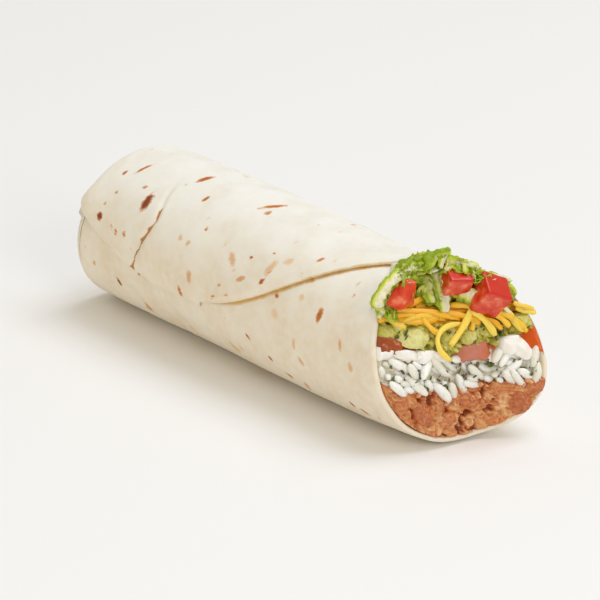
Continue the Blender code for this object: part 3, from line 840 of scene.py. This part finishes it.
def flecks(seed, count, y_span, z_of, outs, sizes, tones):
    """Torn bits of herb leaf, each a thin crumpled flake."""
    mesh = bmesh.new()
    tone = mesh.verts.layers.float.new("tone")
    dice = random.Random(seed)
    for _ in range(count):
        y = dice.uniform(*y_span)
        z = z_of(dice, y)
        if inside(y / 1000, z / 1000, 0.08) > -0.002:
            continue
        middle = on_face(y, z, dice.uniform(*outs))
        size = dice.uniform(*sizes) / 1000
        made = bmesh.ops.create_icosphere(mesh, subdivisions=1, radius=1)["verts"]
        shade = dice.uniform(*tones)
        for vert in made:
            vert.co = Vector((vert.co.x * size * 0.28, vert.co.y * size * 0.55, vert.co.z * size))
            vert.co += Vector((1, 1, 1)) * size * 0.3 * noise.noise(vert.co * 900 + middle * 500)
            vert[tone] = shade
        turned = Euler((dice.uniform(0, 6), dice.uniform(-0.5, 0.5), dice.uniform(-0.6, 0.6))).to_matrix()
        bmesh.ops.transform(mesh, verts=made, matrix=Matrix.Translation(middle) @ turned.to_4x4())
    return mesh


# Chopped coriander and onion browned in the pan: dull dark green to brown flakes.
material, tree, shader, place = blank_material("chopped_herb_leaf")
tone = add(tree, "ShaderNodeAttribute", attribute_name="tone").outputs["Fac"]
vein = add(tree, "ShaderNodeTexNoise", {"Vector": place, "Scale": 1400, "Detail": 3}).outputs["Fac"]
leaf = fade(tree, tone, [(0.0, linear("#3e4a16")), (0.4, linear("#55601c")), (0.6, linear("#4c3413")),
                         (1.0, linear("#86602a"))])
leaf = add(tree, "ShaderNodeMixRGB", {"Fac": 0.2, "Color1": leaf, "Color2": linear("#7b7a3a")})
tree.links.new(leaf.outputs["Color"], shader.inputs["Base Color"])
shader.inputs["Roughness"].default_value = 0.45
herb_material = material
herbs = flecks(5, 105, (-28, 29), lambda dice, y: dice.uniform(beans_top(y / 1000) * 1000 + 0.5,
                                                               rice_top(y / 1000) * 1000 + 0.5),
               (0.1, 1.9), (0.6, 1.3), (0, 1))
piece("rice_herbs", herbs, herb_material, "rice")

# Sour cream: spooned on cold, so it keeps soft rounded folds; one thick blob squeezes out at +Y.
cream_dollops = [(18.6, 31.2, 3.6, 3.4, 0.3, 0.8, 0.5), (22, 30.6, 3.4, 3.2, 1.6, 0.8, 0.5),
                 (20, 33.2, 3.0, 3.4, 0.2, 0.8, 0.5), (23.6, 28.8, 2.4, 2.6, 0.8, 0.8, 0.5),
                 (17.4, 28.6, 2.4, 2.2, 0.3, 0.8, 0.5), (-24, 34.8, 4.6, 1.8, 0.2, 0.5, 0.5),
                 (-17, 33.6, 4.2, 2.6, 2.9, 0.5, 0.5), (-11, 32.8, 3.8, 2.8, 0.3, 0.55, 0.5),
                 (-6, 31.6, 3.2, 2.2, 2.7, 0.5, 0.5)]


def cream_relief(y, z):
    swell = 0.8 * noise.noise(Vector((y * 0.25, z * 0.35, 5))) + 0.35 * noise.noise(Vector((y, z, 6)) * 0.6)
    return highest(y, z, cream_dollops)[0] + swell - 0.2, 0.5


cream = layer(level_2, level_3, 14, cream_relief, crown=0.9)
# Sour cream: opaque milk-white with a soft wet sheen; light sinks a little way in.
material, tree, shader, place = blank_material("sour_cream")
curd = add(tree, "ShaderNodeTexNoise", {"Vector": place, "Scale": 240, "Detail": 2}).outputs["Fac"]
tree.links.new(fade(tree, curd, [(0.3, linear("#f7efe6")), (0.7, linear("#fffaf4"))]),
               shader.inputs["Base Color"])
relief = add(tree, "ShaderNodeBump", {"Height": curd, "Strength": 0.25, "Distance": 0.0008})
tree.links.new(relief.outputs["Normal"], shader.inputs["Normal"])
shader.inputs["Roughness"].default_value = 0.3
shader.inputs["Subsurface Weight"].default_value = 0.35
shader.inputs["Subsurface Radius"].default_value = (1.0, 0.85, 0.7)
shader.inputs["Subsurface Scale"].default_value = 0.0015
piece("sour_cream_layer", cream, material, "sour_cream")

# Red sauce: a chilli and tomato sauce ladled over the cream; it pools at both sides and drips.
def sauce_relief(y, z):
    pools = 2.6 * smooth((-15 - y) / 4) + 2.2 * smooth(y / 3) * smooth((14 - y) / 3)
    pools += 2.2 * smooth((y - 24.5) / 4)
    return pools + 0.6 * noise.noise(Vector((y * 0.5, z * 0.5, 7))) - 0.6, 0.5


sauce = layer(level_3, level_4, 10, sauce_relief, crown=1.0)
# Chilli sauce: glossy and see-through at its thin edges, brick red where deep, orange where oily; the colour runs
# from brick red at -Y to orange at +Y, and the pale pink between them is a painted reflection.
material, tree, shader, place = blank_material("chilli_tomato_sauce")
axes = add(tree, "ShaderNodeSeparateXYZ", {"Vector": place})
across = add(tree, "ShaderNodeMapRange", {"Value": axes.outputs["Y"], "From Min": -0.03, "From Max": 0.032})
pulp = add(tree, "ShaderNodeTexNoise", {"Vector": place, "Scale": 420, "Detail": 4}).outputs["Fac"]
drift = add(tree, "ShaderNodeMath", {0: pulp, 1: 0.16, 2: -0.08}, operation="MULTIPLY_ADD")
spot = add(tree, "ShaderNodeMath", {0: across.outputs["Result"], 1: drift.outputs[0]}, operation="ADD")
# Painted reflection: a pale pink band in the middle of the face stands for light reflected off the wet sauce.
red = fade(tree, spot.outputs[0], [(0.06, linear("#9a4519")), (0.3, linear("#b9602a")), (0.48, linear("#c67048")),
                                   (0.6, linear("#cc8270")), (0.7, linear("#d2703c")),
                                   (0.86, linear("#d95a08"))])
tree.links.new(red, shader.inputs["Base Color"])
relief = add(tree, "ShaderNodeBump", {"Height": pulp, "Strength": 0.35, "Distance": 0.0006})
tree.links.new(relief.outputs["Normal"], shader.inputs["Normal"])
shader.inputs["Roughness"].default_value = 0.16
shader.inputs["IOR"].default_value = 1.4
shader.inputs["Subsurface Weight"].default_value = 0.3
shader.inputs["Subsurface Radius"].default_value = (1.0, 0.35, 0.1)
shader.inputs["Subsurface Scale"].default_value = 0.001
piece("red_sauce_layer", sauce, material, "red_sauce")

# Guacamole: avocado crushed with lime, left chunky, with coriander and pale onion through it.
avocado_lumps = lumps(11, 90, (1.4, 2.9), (1.0, 2.8), (-28, 30), (31, 46))
avocado_lumps += lumps(12, 520, (0.5, 1.3), (1.2, 3.2), (-29, 31), (30, 47))
avocado_lumps += [(-13.5, 38, 6.2, 4.0, 0.15, 0.55, 0.95), (-21, 40, 3.8, 3.0, 0.4, 0.7, 0.8),
                  (-1.5, 36.6, 4.0, 3.8, 1.3, 0.7, 0.75), (6.6, 36.4, 4.2, 3.6, 0.5, 0.7, 0.85),
                  (12.5, 37.4, 3.6, 3.4, 2.4, 0.7, 0.6), (26, 38.6, 4.0, 3.2, 0.4, 0.7, 0.8),
                  (19.5, 38.6, 3.2, 2.8, 0.4, 0.7, 0.7)]


def guacamole_relief(y, z):
    height, tone = highest(y, z, avocado_lumps)
    fine = noise.noise(Vector((y, z, 8)) * 0.8)
    return height + 0.5 * fine - 0.8, tone + 0.3 * fine


guacamole = layer(level_4, level_5, 34, guacamole_relief, crown=0.3)
# Crushed avocado: pale yellow-green flesh, slick with oil; painted shade darkens it to olive in the creases between
# lumps.
material, tree, shader, place = blank_material("crushed_avocado")
proud = add(tree, "ShaderNodeAttribute", attribute_name="proud").outputs["Fac"]
tone = add(tree, "ShaderNodeAttribute", attribute_name="tone").outputs["Fac"]
crush = add(tree, "ShaderNodeTexNoise", {"Vector": place, "Scale": 1100, "Detail": 3}).outputs["Fac"]
green = fade(tree, tone, [(0.0, linear("#8e8a16")), (0.35, linear("#b3ac2e")), (0.65, linear("#cfc852")),
                          (1.0, linear("#e9e4a0"))])
fine = fade(tree, crush, [(0.35, linear("#9a9020")), (0.65, linear("#dcd478"))])
green = add(tree, "ShaderNodeMixRGB", {"Fac": 0.3, "Color1": green, "Color2": fine}).outputs["Color"]
# Painted shade: the flesh is darkened to olive where its face sinks between the lumps.
height = add(tree, "ShaderNodeMapRange", {"Value": proud, "From Min": -0.8, "From Max": 2.4}).outputs["Result"]
painted_crease_shade = fade(tree, height, [(0.0, linear("#6f6712")), (0.3, linear("#c6bc7a")), (0.6, (1, 1, 1, 1))])
green = add(tree, "ShaderNodeMixRGB", {"Fac": 0.8, "Color1": green, "Color2": painted_crease_shade},
            blend_type="MULTIPLY")
tree.links.new(green.outputs["Color"], shader.inputs["Base Color"])
relief = add(tree, "ShaderNodeBump", {"Height": crush, "Strength": 0.6, "Distance": 0.0007})
tree.links.new(relief.outputs["Normal"], shader.inputs["Normal"])
shader.inputs["Roughness"].default_value = 0.28
shader.inputs["IOR"].default_value = 1.43
shader.inputs["Subsurface Weight"].default_value = 0.25
shader.inputs["Subsurface Radius"].default_value = (0.8, 1.0, 0.25)
shader.inputs["Subsurface Scale"].default_value = 0.0012
piece("guacamole_layer", guacamole, material, "guacamole")
coriander = flecks(6, 46, (-27, 29), lambda dice, y: dice.uniform(sauce_top(y / 1000) * 1000 + 0.8,
                                                                  guacamole_top(y / 1000) * 1000 - 0.6),
                   (1.4, 3.2), (0.7, 1.5), (0, 0.4))
piece("guacamole_herbs", coriander, herb_material, "guacamole")

# Cheese: cheddar and a paler jack, shredded on a coarse grater, then scattered while still cold.
def cheese_relief(y, z):
    return -3.0 + 0.6 * noise.noise(Vector((y * 0.3, z * 0.3, 3))), 0.5


cheese = layer(level_5, level_6, 12, cheese_relief)
material, tree, shader, place = blank_material("packed_cheese_core")
mixed = add(tree, "ShaderNodeTexNoise", {"Vector": place, "Scale": 330, "Detail": 2}).outputs["Fac"]
tree.links.new(fade(tree, mixed, [(0.35, linear("#d28a0a")), (0.65, linear("#f5b41e"))]),
               shader.inputs["Base Color"])
relief = add(tree, "ShaderNodeBump", {"Height": mixed, "Strength": 0.8, "Distance": 0.0012})
tree.links.new(relief.outputs["Normal"], shader.inputs["Normal"])
shader.inputs["Roughness"].default_value = 0.45
piece("cheese_core", cheese, material, "cheese")


def along_path(points, share):
    """A smooth path through three or four points."""
    spot = Vector((0, 0, 0))
    last = len(points) - 1
    for index, point in enumerate(points):
        weight = 1.0
        for other in range(last + 1):
            if other != index:
                weight *= (share * last - other) / (index - other)
        spot += point * weight
    return spot


def strip(mesh, points, width, thick, tone, twist=0.0, facing=(1, -0.5, 0.4), cuts=14, frill=0.0,
          round_edges=True, phase=0.0):
    """A strip of food bent along a path, with its broad side turned towards `facing`."""
    tone_layer = mesh.verts.layers.float["tone"]
    edge_layer = mesh.verts.layers.float["edge"]
    for vert in brick(mesh, 4 if frill else 2, cuts, 2 if round_edges else 1):
        side, share, up = vert.co.x * 2 - 1, vert.co.y, vert.co.z * 2 - 1
        spot = along_path(points, share)
        ahead = along_path(points, min(share + 0.02, 1.02)) - along_path(points, share - 0.02)
        ahead.normalize()
        out = (Vector(facing) - ahead * ahead.dot(Vector(facing))).normalized()
        flat = ahead.cross(out)
        turned = twist * (share - 0.5)
        across = flat * math.cos(turned) + out * math.sin(turned)
        rise = out * math.cos(turned) - flat * math.sin(turned)
        half = width / 2
        if round_edges:
            rise_share = up * (1 - 0.12 * side * side)
            half *= 1 - 0.1 * up * up
            half *= 1 + 0.14 * math.sin(share * 9 + 40 * tone) - 0.4 * smooth((abs(share - 0.5) - 0.38) / 0.12)
        else:
            rise_share = up
            half *= 0.55 + 0.45 * math.sqrt(max(1 - (2 * share - 1) ** 6, 0))
            half *= 1 + 0.16 * math.sin(share * 17 + phase)
        wave = frill * side * side * math.sin(share * (13 + 5 * math.sin(phase)) + phase + side)
        wave += 0.5 * frill * side * math.sin(share * 29 + 2 * phase)
        vert.co = spot + across * side * half + rise * (rise_share * thick / 2 + wave)
        vert[tone_layer] = tone
        vert[edge_layer] = side


def face_path(points):
    return [on_face(*point) for point in points]


shreds = bmesh.new()
shreds.verts.layers.float.new("tone")
shreds.verts.layers.float.new("edge")
chance = random.Random(31)
# Packed shreds behind, mostly level.
for _ in range(110):
    y = chance.uniform(-24, 27)
    low, high = guacamole_top(y / 1000) * 1000 - 0.6, cheese_top(y / 1000) * 1000 + 0.8
    z = chance.uniform(low, high)
    half, dip = chance.uniform(5, 10), chance.uniform(-2.5, 1.5)
    slope = chance.uniform(-0.35, 0.25)
    out = chance.uniform(-2.6, -0.2)
    path = [(y - half, z - slope * half, out - 0.3), (y, z + dip, out + chance.uniform(0, 0.8)),
            (y + half, z + slope * half, out - 0.3)]
    if max(inside(end[0] / 1000, end[1] / 1000, 0.08) for end in (path[0], path[2])) > -0.0012:
        continue
    strip(shreds, face_path(path), chance.uniform(1.7, 2.3) / 1000, chance.uniform(1.1, 1.4) / 1000,
          chance.choice((0.1, 0.25, 0.4, 0.6)), twist=chance.uniform(-1.2, 1.2))
# Loose shreds that hang over the guacamole: points on the open face as (y, z, out) in mm, and tone.
loose = [
    ([(-19, 47.5, 0.6), (-12.5, 46.8, 1.6), (-4.5, 45.2, 2.0), (3, 42.3, 1.6)], 2.6, 0.35),
    ([(-20, 46.3, 0.6), (-17.8, 43.6, 1.2), (-15, 41.8, 1.3)], 2.4, 0.8),
    ([(-17, 44.6, 0.6), (-10, 43.2, 1.6), (-3.5, 43.4, 1.5)], 2.4, 0.3),
    ([(-16, 43, 0.9), (-9, 44.8, 1.8), (-1, 42.2, 1.6)], 2.3, 0.55),
    ([(3, 41.2, 2.2), (-5.2, 40.2, 3.2), (-7.4, 35.8, 3.6), (-3.8, 30.8, 3.0)], 2.1, 0.95),
    ([(7, 45.3, 2.4), (3, 41.2, 3.6), (-3.6, 35.8, 4.0)], 2.7, 0.9),
    ([(6.2, 45.4, 2.6), (10.6, 41.6, 3.4), (13.9, 35.8, 3.4)], 2.7, 0.95),
    ([(8.6, 43.6, 1.6), (7.2, 41, 2.4), (6, 38.6, 2.4)], 2.3, 0.6),
    ([(1.5, 46.6, 1.2), (7, 46, 2.2), (11, 43, 2.2)], 2.4, 0.5),
    ([(14, 43.6, 1.8), (17, 41.2, 2.6), (19.8, 37.6, 2.6)], 2.4, 0.6),
    ([(16, 42.2, 2.0), (20.6, 40.6, 2.8), (25, 35.4, 2.4)], 2.5, 0.5),
    ([(21.4, 42.2, 2.2), (21.8, 38.4, 3.0), (24, 36, 2.6)], 2.3, 0.75),
    ([(23.6, 44.4, 1.6), (26.6, 42.8, 2.4), (29.6, 41.8, 2.0)], 2.4, 0.7),
    ([(24, 42.6, 1.4), (27, 41.6, 2.2), (30.2, 40.4, 1.6)], 2.3, 0.9),
    ([(-9, 44.4, 1.8), (-7.6, 41.2, 2.4), (-5, 39, 2.2)], 2.2, 0.5),
    ([(-22, 44, 0.4), (-16, 45.6, 1.2), (-10, 44.8, 1.4)], 2.3, 0.45),
    ([(10, 41.6, 1.4), (14.5, 40, 2.2), (17.4, 36.6, 2.0)], 2.2, 0.35),
    ([(-2, 44.6, 1.6), (4, 43.6, 2.4), (9.6, 40, 2.2)], 2.4, 0.3),
]
for path, width, tone in loose:
    strip(shreds, face_path(path), width * 0.00084, 0.0013, tone, twist=chance.uniform(-1.1, 1.1), cuts=18)
# Cheddar and jack: waxy and a little see-through; cheddar is orange-yellow and jack a paler yellow.
material, tree, shader, place = blank_material("shredded_cheddar_and_jack")
tone = add(tree, "ShaderNodeAttribute", attribute_name="tone").outputs["Fac"]
wax = add(tree, "ShaderNodeTexNoise", {"Vector": place, "Scale": 700, "Detail": 3}).outputs["Fac"]
yellow = fade(tree, tone, [(0.1, linear("#f7a808")), (0.45, linear("#fcbe1c")), (0.95, linear("#ffde58"))])
milky = fade(tree, wax, [(0.45, (0, 0, 0, 1)), (0.8, (0.18, 0.18, 0.18, 1))])
yellow = add(tree, "ShaderNodeMixRGB", {"Fac": milky, "Color1": yellow, "Color2": linear("#fbe08e")})
tree.links.new(yellow.outputs["Color"], shader.inputs["Base Color"])
relief = add(tree, "ShaderNodeBump", {"Height": wax, "Strength": 0.3, "Distance": 0.0005})
tree.links.new(relief.outputs["Normal"], shader.inputs["Normal"])
shader.inputs["Roughness"].default_value = 0.36
shader.inputs["Subsurface Weight"].default_value = 0.3
shader.inputs["Subsurface Radius"].default_value = (1.0, 0.6, 0.15)
shader.inputs["Subsurface Scale"].default_value = 0.0012
piece("cheese_shreds", shreds, material, "cheese")

# Tomato: firm ripe fruit cut in 8 to 11 mm dice. One side of each die is the fruit's smooth skin.
def tomato_die(name, corners, node, flesh_out):
    """A die shaped by its own width, depth and height, with soft cut edges and uneven flesh."""
    middle, size, turned, wedge = corners
    mesh = bmesh.new()
    skin = mesh.verts.layers.float.new("skin")
    bmesh.ops.create_cube(mesh, size=1)
    for vert in mesh.verts:
        if vert.co.z > 0:
            vert.co.y = vert.co.y * (1 - wedge) + 0.5 * wedge
    bmesh.ops.scale(mesh, vec=size, verts=mesh.verts)
    bmesh.ops.bevel(mesh, geom=mesh.edges, offset=0.0006, segments=3, profile=0.5, affect="EDGES",
                    material=-1)
    bmesh.ops.subdivide_edges(mesh, edges=[edge for edge in mesh.edges if edge.calc_length() > 0.002],
                              cuts=7, use_grid_fill=True)
    bmesh.ops.triangulate(mesh, faces=[face for face in mesh.faces if len(face.verts) > 4])
    for vert in mesh.verts:
        peel = smooth((vert.co[flesh_out[0]] * flesh_out[1] / size[flesh_out[0]] - 0.34) / 0.12)
        vert[skin] = peel
        pits = noise.noise(vert.co * 210) * 0.7 + noise.noise(vert.co * 500) * 0.2
        vert.co += vert.co.normalized() * 0.0006 * pits * (1 - 0.6 * peel)
    bmesh.ops.rotate(mesh, verts=mesh.verts, cent=(0, 0, 0), matrix=Euler(turned).to_matrix())
    bmesh.ops.translate(mesh, verts=mesh.verts, vec=middle)
    return piece(name, mesh, tomato_material, node)


# Tomato: wet red flesh with paler fibres, and a thin glossy skin of a deeper red.
material, tree, shader, place = blank_material("ripe_tomato")
skin = add(tree, "ShaderNodeAttribute", attribute_name="skin").outputs["Fac"]
fibre = add(tree, "ShaderNodeTexNoise", {"Vector": place, "Scale": 300, "Detail": 3}).outputs["Fac"]
flesh = fade(tree, fibre, [(0.34, linear("#cc2c06")), (0.54, linear("#de4c24")), (0.74, linear("#ec8e6c"))])
red = add(tree, "ShaderNodeMixRGB", {"Fac": skin, "Color1": flesh, "Color2": linear("#cf2604")})
tree.links.new(red.outputs["Color"], shader.inputs["Base Color"])
relief = add(tree, "ShaderNodeBump", {"Height": fibre, "Strength": 0.4, "Distance": 0.0006})
tree.links.new(relief.outputs["Normal"], shader.inputs["Normal"])
shader.inputs["Roughness"].default_value = 0.22
shader.inputs["Subsurface Weight"].default_value = 0.3
shader.inputs["Subsurface Radius"].default_value = (1.0, 0.25, 0.12)
shader.inputs["Subsurface Scale"].default_value = 0.0015
tomato_material = material
tomato_die("tomato_die_left", ((0.0760, -0.0155, 0.0536), (0.0062, 0.0086, 0.0084), (-0.12, 0.1, 0.35), 0.85),
           "tomato_left", (0, -1))
tomato_die("tomato_die_middle", ((0.0796, 0.0046, 0.0548), (0.0088, 0.0090, 0.0070), (-0.16, 0.4, -0.35), 0.06),
           "tomato_middle", (2, 1))
tomato_die("tomato_die_right", ((0.0862, 0.0136, 0.0494), (0.0098, 0.0108, 0.0104), (-0.5, 0.5, -0.45), 0.06),
           "tomato_right", (2, 1))

# Lettuce: iceberg and romaine cut in ribbons 3 to 6 mm wide, heaped last, so it stands proud of the
# tortilla's edge and hangs over the tomato. Pale watery ribs run through thin green frills.
def heap_up(grid, height):
    """Past the tortilla's edge nothing holds the top of the filling down, so it stands proud."""
    for row in grid:
        for point in row[1:-1]:
            spoke = Vector((0, point.y - AXIS_Y, point.z - AXIS_Z)).normalized()
            turn_deg = math.degrees(math.atan2(spoke.z, spoke.y))
            free = smooth((point.x - lip_x(turn_deg) - 0.004) / 0.005)
            point += spoke * free * height * bump(signed_deg(turn_deg, 98), 0, 44)


def lettuce_relief(y, z):
    return -3.2 + 0.8 * noise.noise(Vector((y * 0.3, z * 0.3, 9))), 0.5


heap_up(ceiling, 0.0055)
lettuce = layer(level_6, ceiling, 16, lettuce_relief, high_gap=0)
# Painted shade: the packed core behind the ribbons is coloured dark olive green for the shade between the shreds.
material, tree, shader, place = blank_material("lettuce_core_in_painted_shade")
leaves = add(tree, "ShaderNodeTexNoise", {"Vector": place, "Scale": 260, "Detail": 4}).outputs["Fac"]
tree.links.new(fade(tree, leaves, [(0.35, linear("#6c7c12")), (0.65, linear("#a9b63a"))]),
               shader.inputs["Base Color"])
relief = add(tree, "ShaderNodeBump", {"Height": leaves, "Strength": 0.9, "Distance": 0.0015})
tree.links.new(relief.outputs["Normal"], shader.inputs["Normal"])
shader.inputs["Roughness"].default_value = 0.5
piece("lettuce_core", lettuce, material, "lettuce")

ribbons = bmesh.new()
ribbons.verts.layers.float.new("tone")
ribbons.verts.layers.float.new("edge")
chance = random.Random(47)


def over_heap(turn_deg, x, lift):
    """A point over the top of the heap, at an angle round the roll and a place along it."""
    turn = math.radians(turn_deg)
    free = smooth((x - lip_x(turn_deg) - 0.003) / 0.006)
    radius = wall_radius(turn_deg, x) + free * 0.0058 * bump(signed_deg(turn_deg, 98), 0, 44) + lift
    return Vector((x, AXIS_Y + radius * math.cos(turn), AXIS_Z + radius * math.sin(turn)))


def ribbon(mesh, points, width, tone, frill, phase, facing=(1, -0.5, 0.4), cuts=24, cup=0.0, twist=0.0):
    """A cut ribbon of leaf along a path: paper thin, crinkled, with ragged edges and its rib off centre."""
    rib = 0.75 * math.sin(phase * 5)
    tone_layer, edge_layer = mesh.verts.layers.float["tone"], mesh.verts.layers.float["edge"]
    for vert in brick(mesh, 6, cuts, 1):
        side, share, up = vert.co.x * 2 - 1, vert.co.y, vert.co.z * 2 - 1
        spot = along_path(points, share)
        ahead = along_path(points, min(share + 0.02, 1.02)) - along_path(points, share - 0.02)
        ahead.normalize()
        out = (Vector(facing) - ahead * ahead.dot(Vector(facing))).normalized()
        flat = ahead.cross(out)
        turned = twist * (share - 0.5)
        across = flat * math.cos(turned) + out * math.sin(turned)
        rise = out * math.cos(turned) - flat * math.sin(turned)
        torn = noise.noise(Vector((share * 8 + phase, 2.0 if side > 0 else -2.0, 0)))
        half = width / 2 * (0.72 + 0.28 * math.sqrt(max(1 - (2 * share - 1) ** 8, 0))) * (1 + 0.6 * torn)
        wave = frill * (0.9 * side * math.sin(share * 8 + phase) + 0.6 * side * side * math.sin(share * 23 + phase))
        wave += frill * noise.noise(Vector((share * 6 + phase, side * 1.5, 3))) + cup * side * side * half
        wave += 0.00035 * noise.noise(Vector((share * 22 + phase, side * 3, 7)))
        vert.co = spot + across * side * half + rise * (up * 0.0002 * (1.3 - 0.6 * abs(side)) + wave)
        vert[tone_layer] = tone
        vert[edge_layer] = side - rib


# Ribbons that cover the top of the heap, behind the ones that show most.
for _ in range(130):
    turn_deg = chance.uniform(52, 130)
    lip = lip_x(turn_deg)
    x = chance.uniform(lip + 0.003, max(lip + 0.004, mouth_x(AXIS_Y + 0.03 * math.cos(math.radians(turn_deg)),
                                                             AXIS_Z + 0.03 * math.sin(math.radians(turn_deg)))))
    reach, swing = chance.uniform(0.002, 0.006), chance.uniform(8, 17) * chance.choice((-1, 1))
    lift = 0.0012 * smooth((turn_deg - 60) / 25)
    path = [over_heap(turn_deg - swing, x - reach, chance.uniform(-0.0024, 0.0)),
            over_heap(turn_deg, x, chance.uniform(-0.0006, 0.0012) + lift),
            over_heap(turn_deg + swing, x + reach, chance.uniform(-0.0024, 0.0))]
    ribbon(ribbons, path, chance.choice((2.2, 2.8, 3.4, 4.2, 5.2)) / 1000, chance.uniform(0.15, 1), chance.uniform(0.0006, 0.0014),
           chance.uniform(0, 6), (0.4, math.cos(math.radians(turn_deg)), math.sin(math.radians(turn_deg))),
           twist=chance.uniform(-1.6, 1.6), cup=chance.uniform(-0.3, 0.3))
# Ribbons that stand out at the mouth, with their width in mm, how pale they are and how wavy.
shown = [
    ([(-23, 49.2, 0.8), (-21.4, 53.4, 1.4), (-17.4, 57, 1.4), (-12, 59.2, 0.8)], 4.2, 0.95, 0.7, 0.3),
    ([(-16, 54.6, 0.5), (-10, 57.6, 1.4), (-3, 59.4, 1.6)], 6.0, 0.45, 1.3, 0),
    ([(-13, 54, 1.2), (-8, 57, 2.2), (-1, 58, 2.0)], 5.2, 0.7, 1.2, 0),
    ([(-5, 59.0, 0.8), (0.5, 61.4, 0.8), (5.4, 62.8, 0.4)], 4.6, 0.8, 1.2, 0),
    ([(-13, 57.4, 0.6), (-9.5, 59.6, 0.8), (-5, 60.4, 0.6)], 3.0, 0.9, 1.0, 0),
    ([(-19, 54, 1.2), (-15, 56.8, 2.0), (-12, 57.6, 1.8)], 2.6, 0.6, 1.0, 0),
    ([(5, 59.6, 1.0), (9.6, 58.6, 1.6), (12.6, 56.2, 1.6)], 2.6, 0.9, 0.9, 0),
    ([(-3, 58.4, 1.4), (3, 60, 1.8), (8, 58.6, 1.4)], 5.2, 0.65, 1.2, 0),
    ([(3, 58.6, 0.8), (8, 58.6, 1.2), (13, 56.4, 1.2)], 4.6, 0.55, 1.0, 0),
    ([(10, 56.6, 0.4), (15, 54.6, 1.2), (20, 51.6, 1.2), (24.6, 45.8, 1.2)], 3.2, 0.45, 1.0, 0),
    ([(-0.6, 57, 1.8), (-0.4, 51.6, 3.6), (-1.9, 45.4, 3.8)], 4.2, 1.0, 0.6, 0.3),
    ([(2.4, 57, 1.8), (1.4, 53, 3.4), (-0.2, 48.4, 3.6)], 3.6, 0.85, 0.8, 0.2),
    ([(2.6, 52, 2.8), (6.6, 50, 3.4), (11.4, 45.8, 3.2)], 5.2, 0.9, 0.6, 0.35),
    ([(-4, 57.4, 1.4), (-3.8, 53, 2.4), (-4.8, 48.4, 2.6)], 4.6, 0.75, 0.8, 0.2),
    ([(-7.4, 52, 1.2), (-3.5, 49.6, 2.2), (1.6, 48.6, 2.4)], 5.2, 0.6, 0.8, 0),
    ([(4, 48.6, 1.2), (8, 47.6, 2.2), (12, 47.2, 2.0)], 4.8, 0.7, 0.7, 0),
    ([(11, 55.4, 1.0), (15, 53.4, 1.8), (17.6, 50.6, 1.8)], 4.8, 0.75, 0.9, 0),
    ([(11.0, 51.4, 2.6), (11.2, 47, 3.2), (14.4, 43.6, 3.2)], 1.8, 1.2, 0.4, 0),
    ([(14, 43.8, 3.0), (17.6, 44.6, 3.4), (20.4, 41.6, 3.2)], 1.7, 1.2, 0.4, 0),
    ([(13, 53.4, 2.4), (18, 54.2, 3.0), (23.4, 51.4, 2.6)], 1.9, 1.0, 0.5, 0),
    ([(17, 54, 0.2), (21.4, 51.4, 0.8), (25.6, 46.4, 0.8)], 3.2, 0.5, 1.0, 0),
    ([(-22.6, 49.4, 0.8), (-21.4, 47.4, 1.4), (-22.4, 45.6, 1.0)], 3.0, 0.8, 0.7, 0),
]
for path, width, tone, frill, cup in shown:
    ribbon(ribbons, face_path(path), width / 1000, tone, frill * 0.0009, chance.uniform(0, 6), cuts=28, cup=cup,
           twist=chance.uniform(-0.6, 0.6))
# Lettuce: thin, crisp and wet; ribs are nearly white and the frills fresh yellow-green.
material, tree, shader, place = blank_material("shredded_lettuce")
tone = add(tree, "ShaderNodeAttribute", attribute_name="tone").outputs["Fac"]
edge = add(tree, "ShaderNodeAttribute", attribute_name="edge").outputs["Fac"]
veins = add(tree, "ShaderNodeTexNoise", {"Vector": place, "Scale": 520, "Detail": 4}).outputs["Fac"]
middle = add(tree, "ShaderNodeMath", {0: edge, 1: edge}, operation="MULTIPLY").outputs[0]
middle = add(tree, "ShaderNodeMath", {0: middle, 1: 0.55}, operation="MULTIPLY")
spread = add(tree, "ShaderNodeMath", {0: veins, 1: 0.6, 2: middle.outputs[0]}, operation="MULTIPLY_ADD")
paleness = add(tree, "ShaderNodeMath", {0: tone, 1: spread.outputs[0]}, operation="SUBTRACT")
green = fade(tree, paleness.outputs[0], [(0.0, linear("#97ab12")), (0.14, linear("#bccb32")),
                                         (0.36, linear("#e0e278")), (0.66, linear("#f8f6d0"))])
tree.links.new(green, shader.inputs["Base Color"])
relief = add(tree, "ShaderNodeBump", {"Height": veins, "Strength": 0.8, "Distance": 0.001})
tree.links.new(relief.outputs["Normal"], shader.inputs["Normal"])
shader.inputs["Roughness"].default_value = 0.34
shader.inputs["Subsurface Weight"].default_value = 0.5
shader.inputs["Subsurface Radius"].default_value = (0.8, 1.0, 0.25)
shader.inputs["Subsurface Scale"].default_value = 0.0016
piece("lettuce_ribbons", ribbons, material, "lettuce")
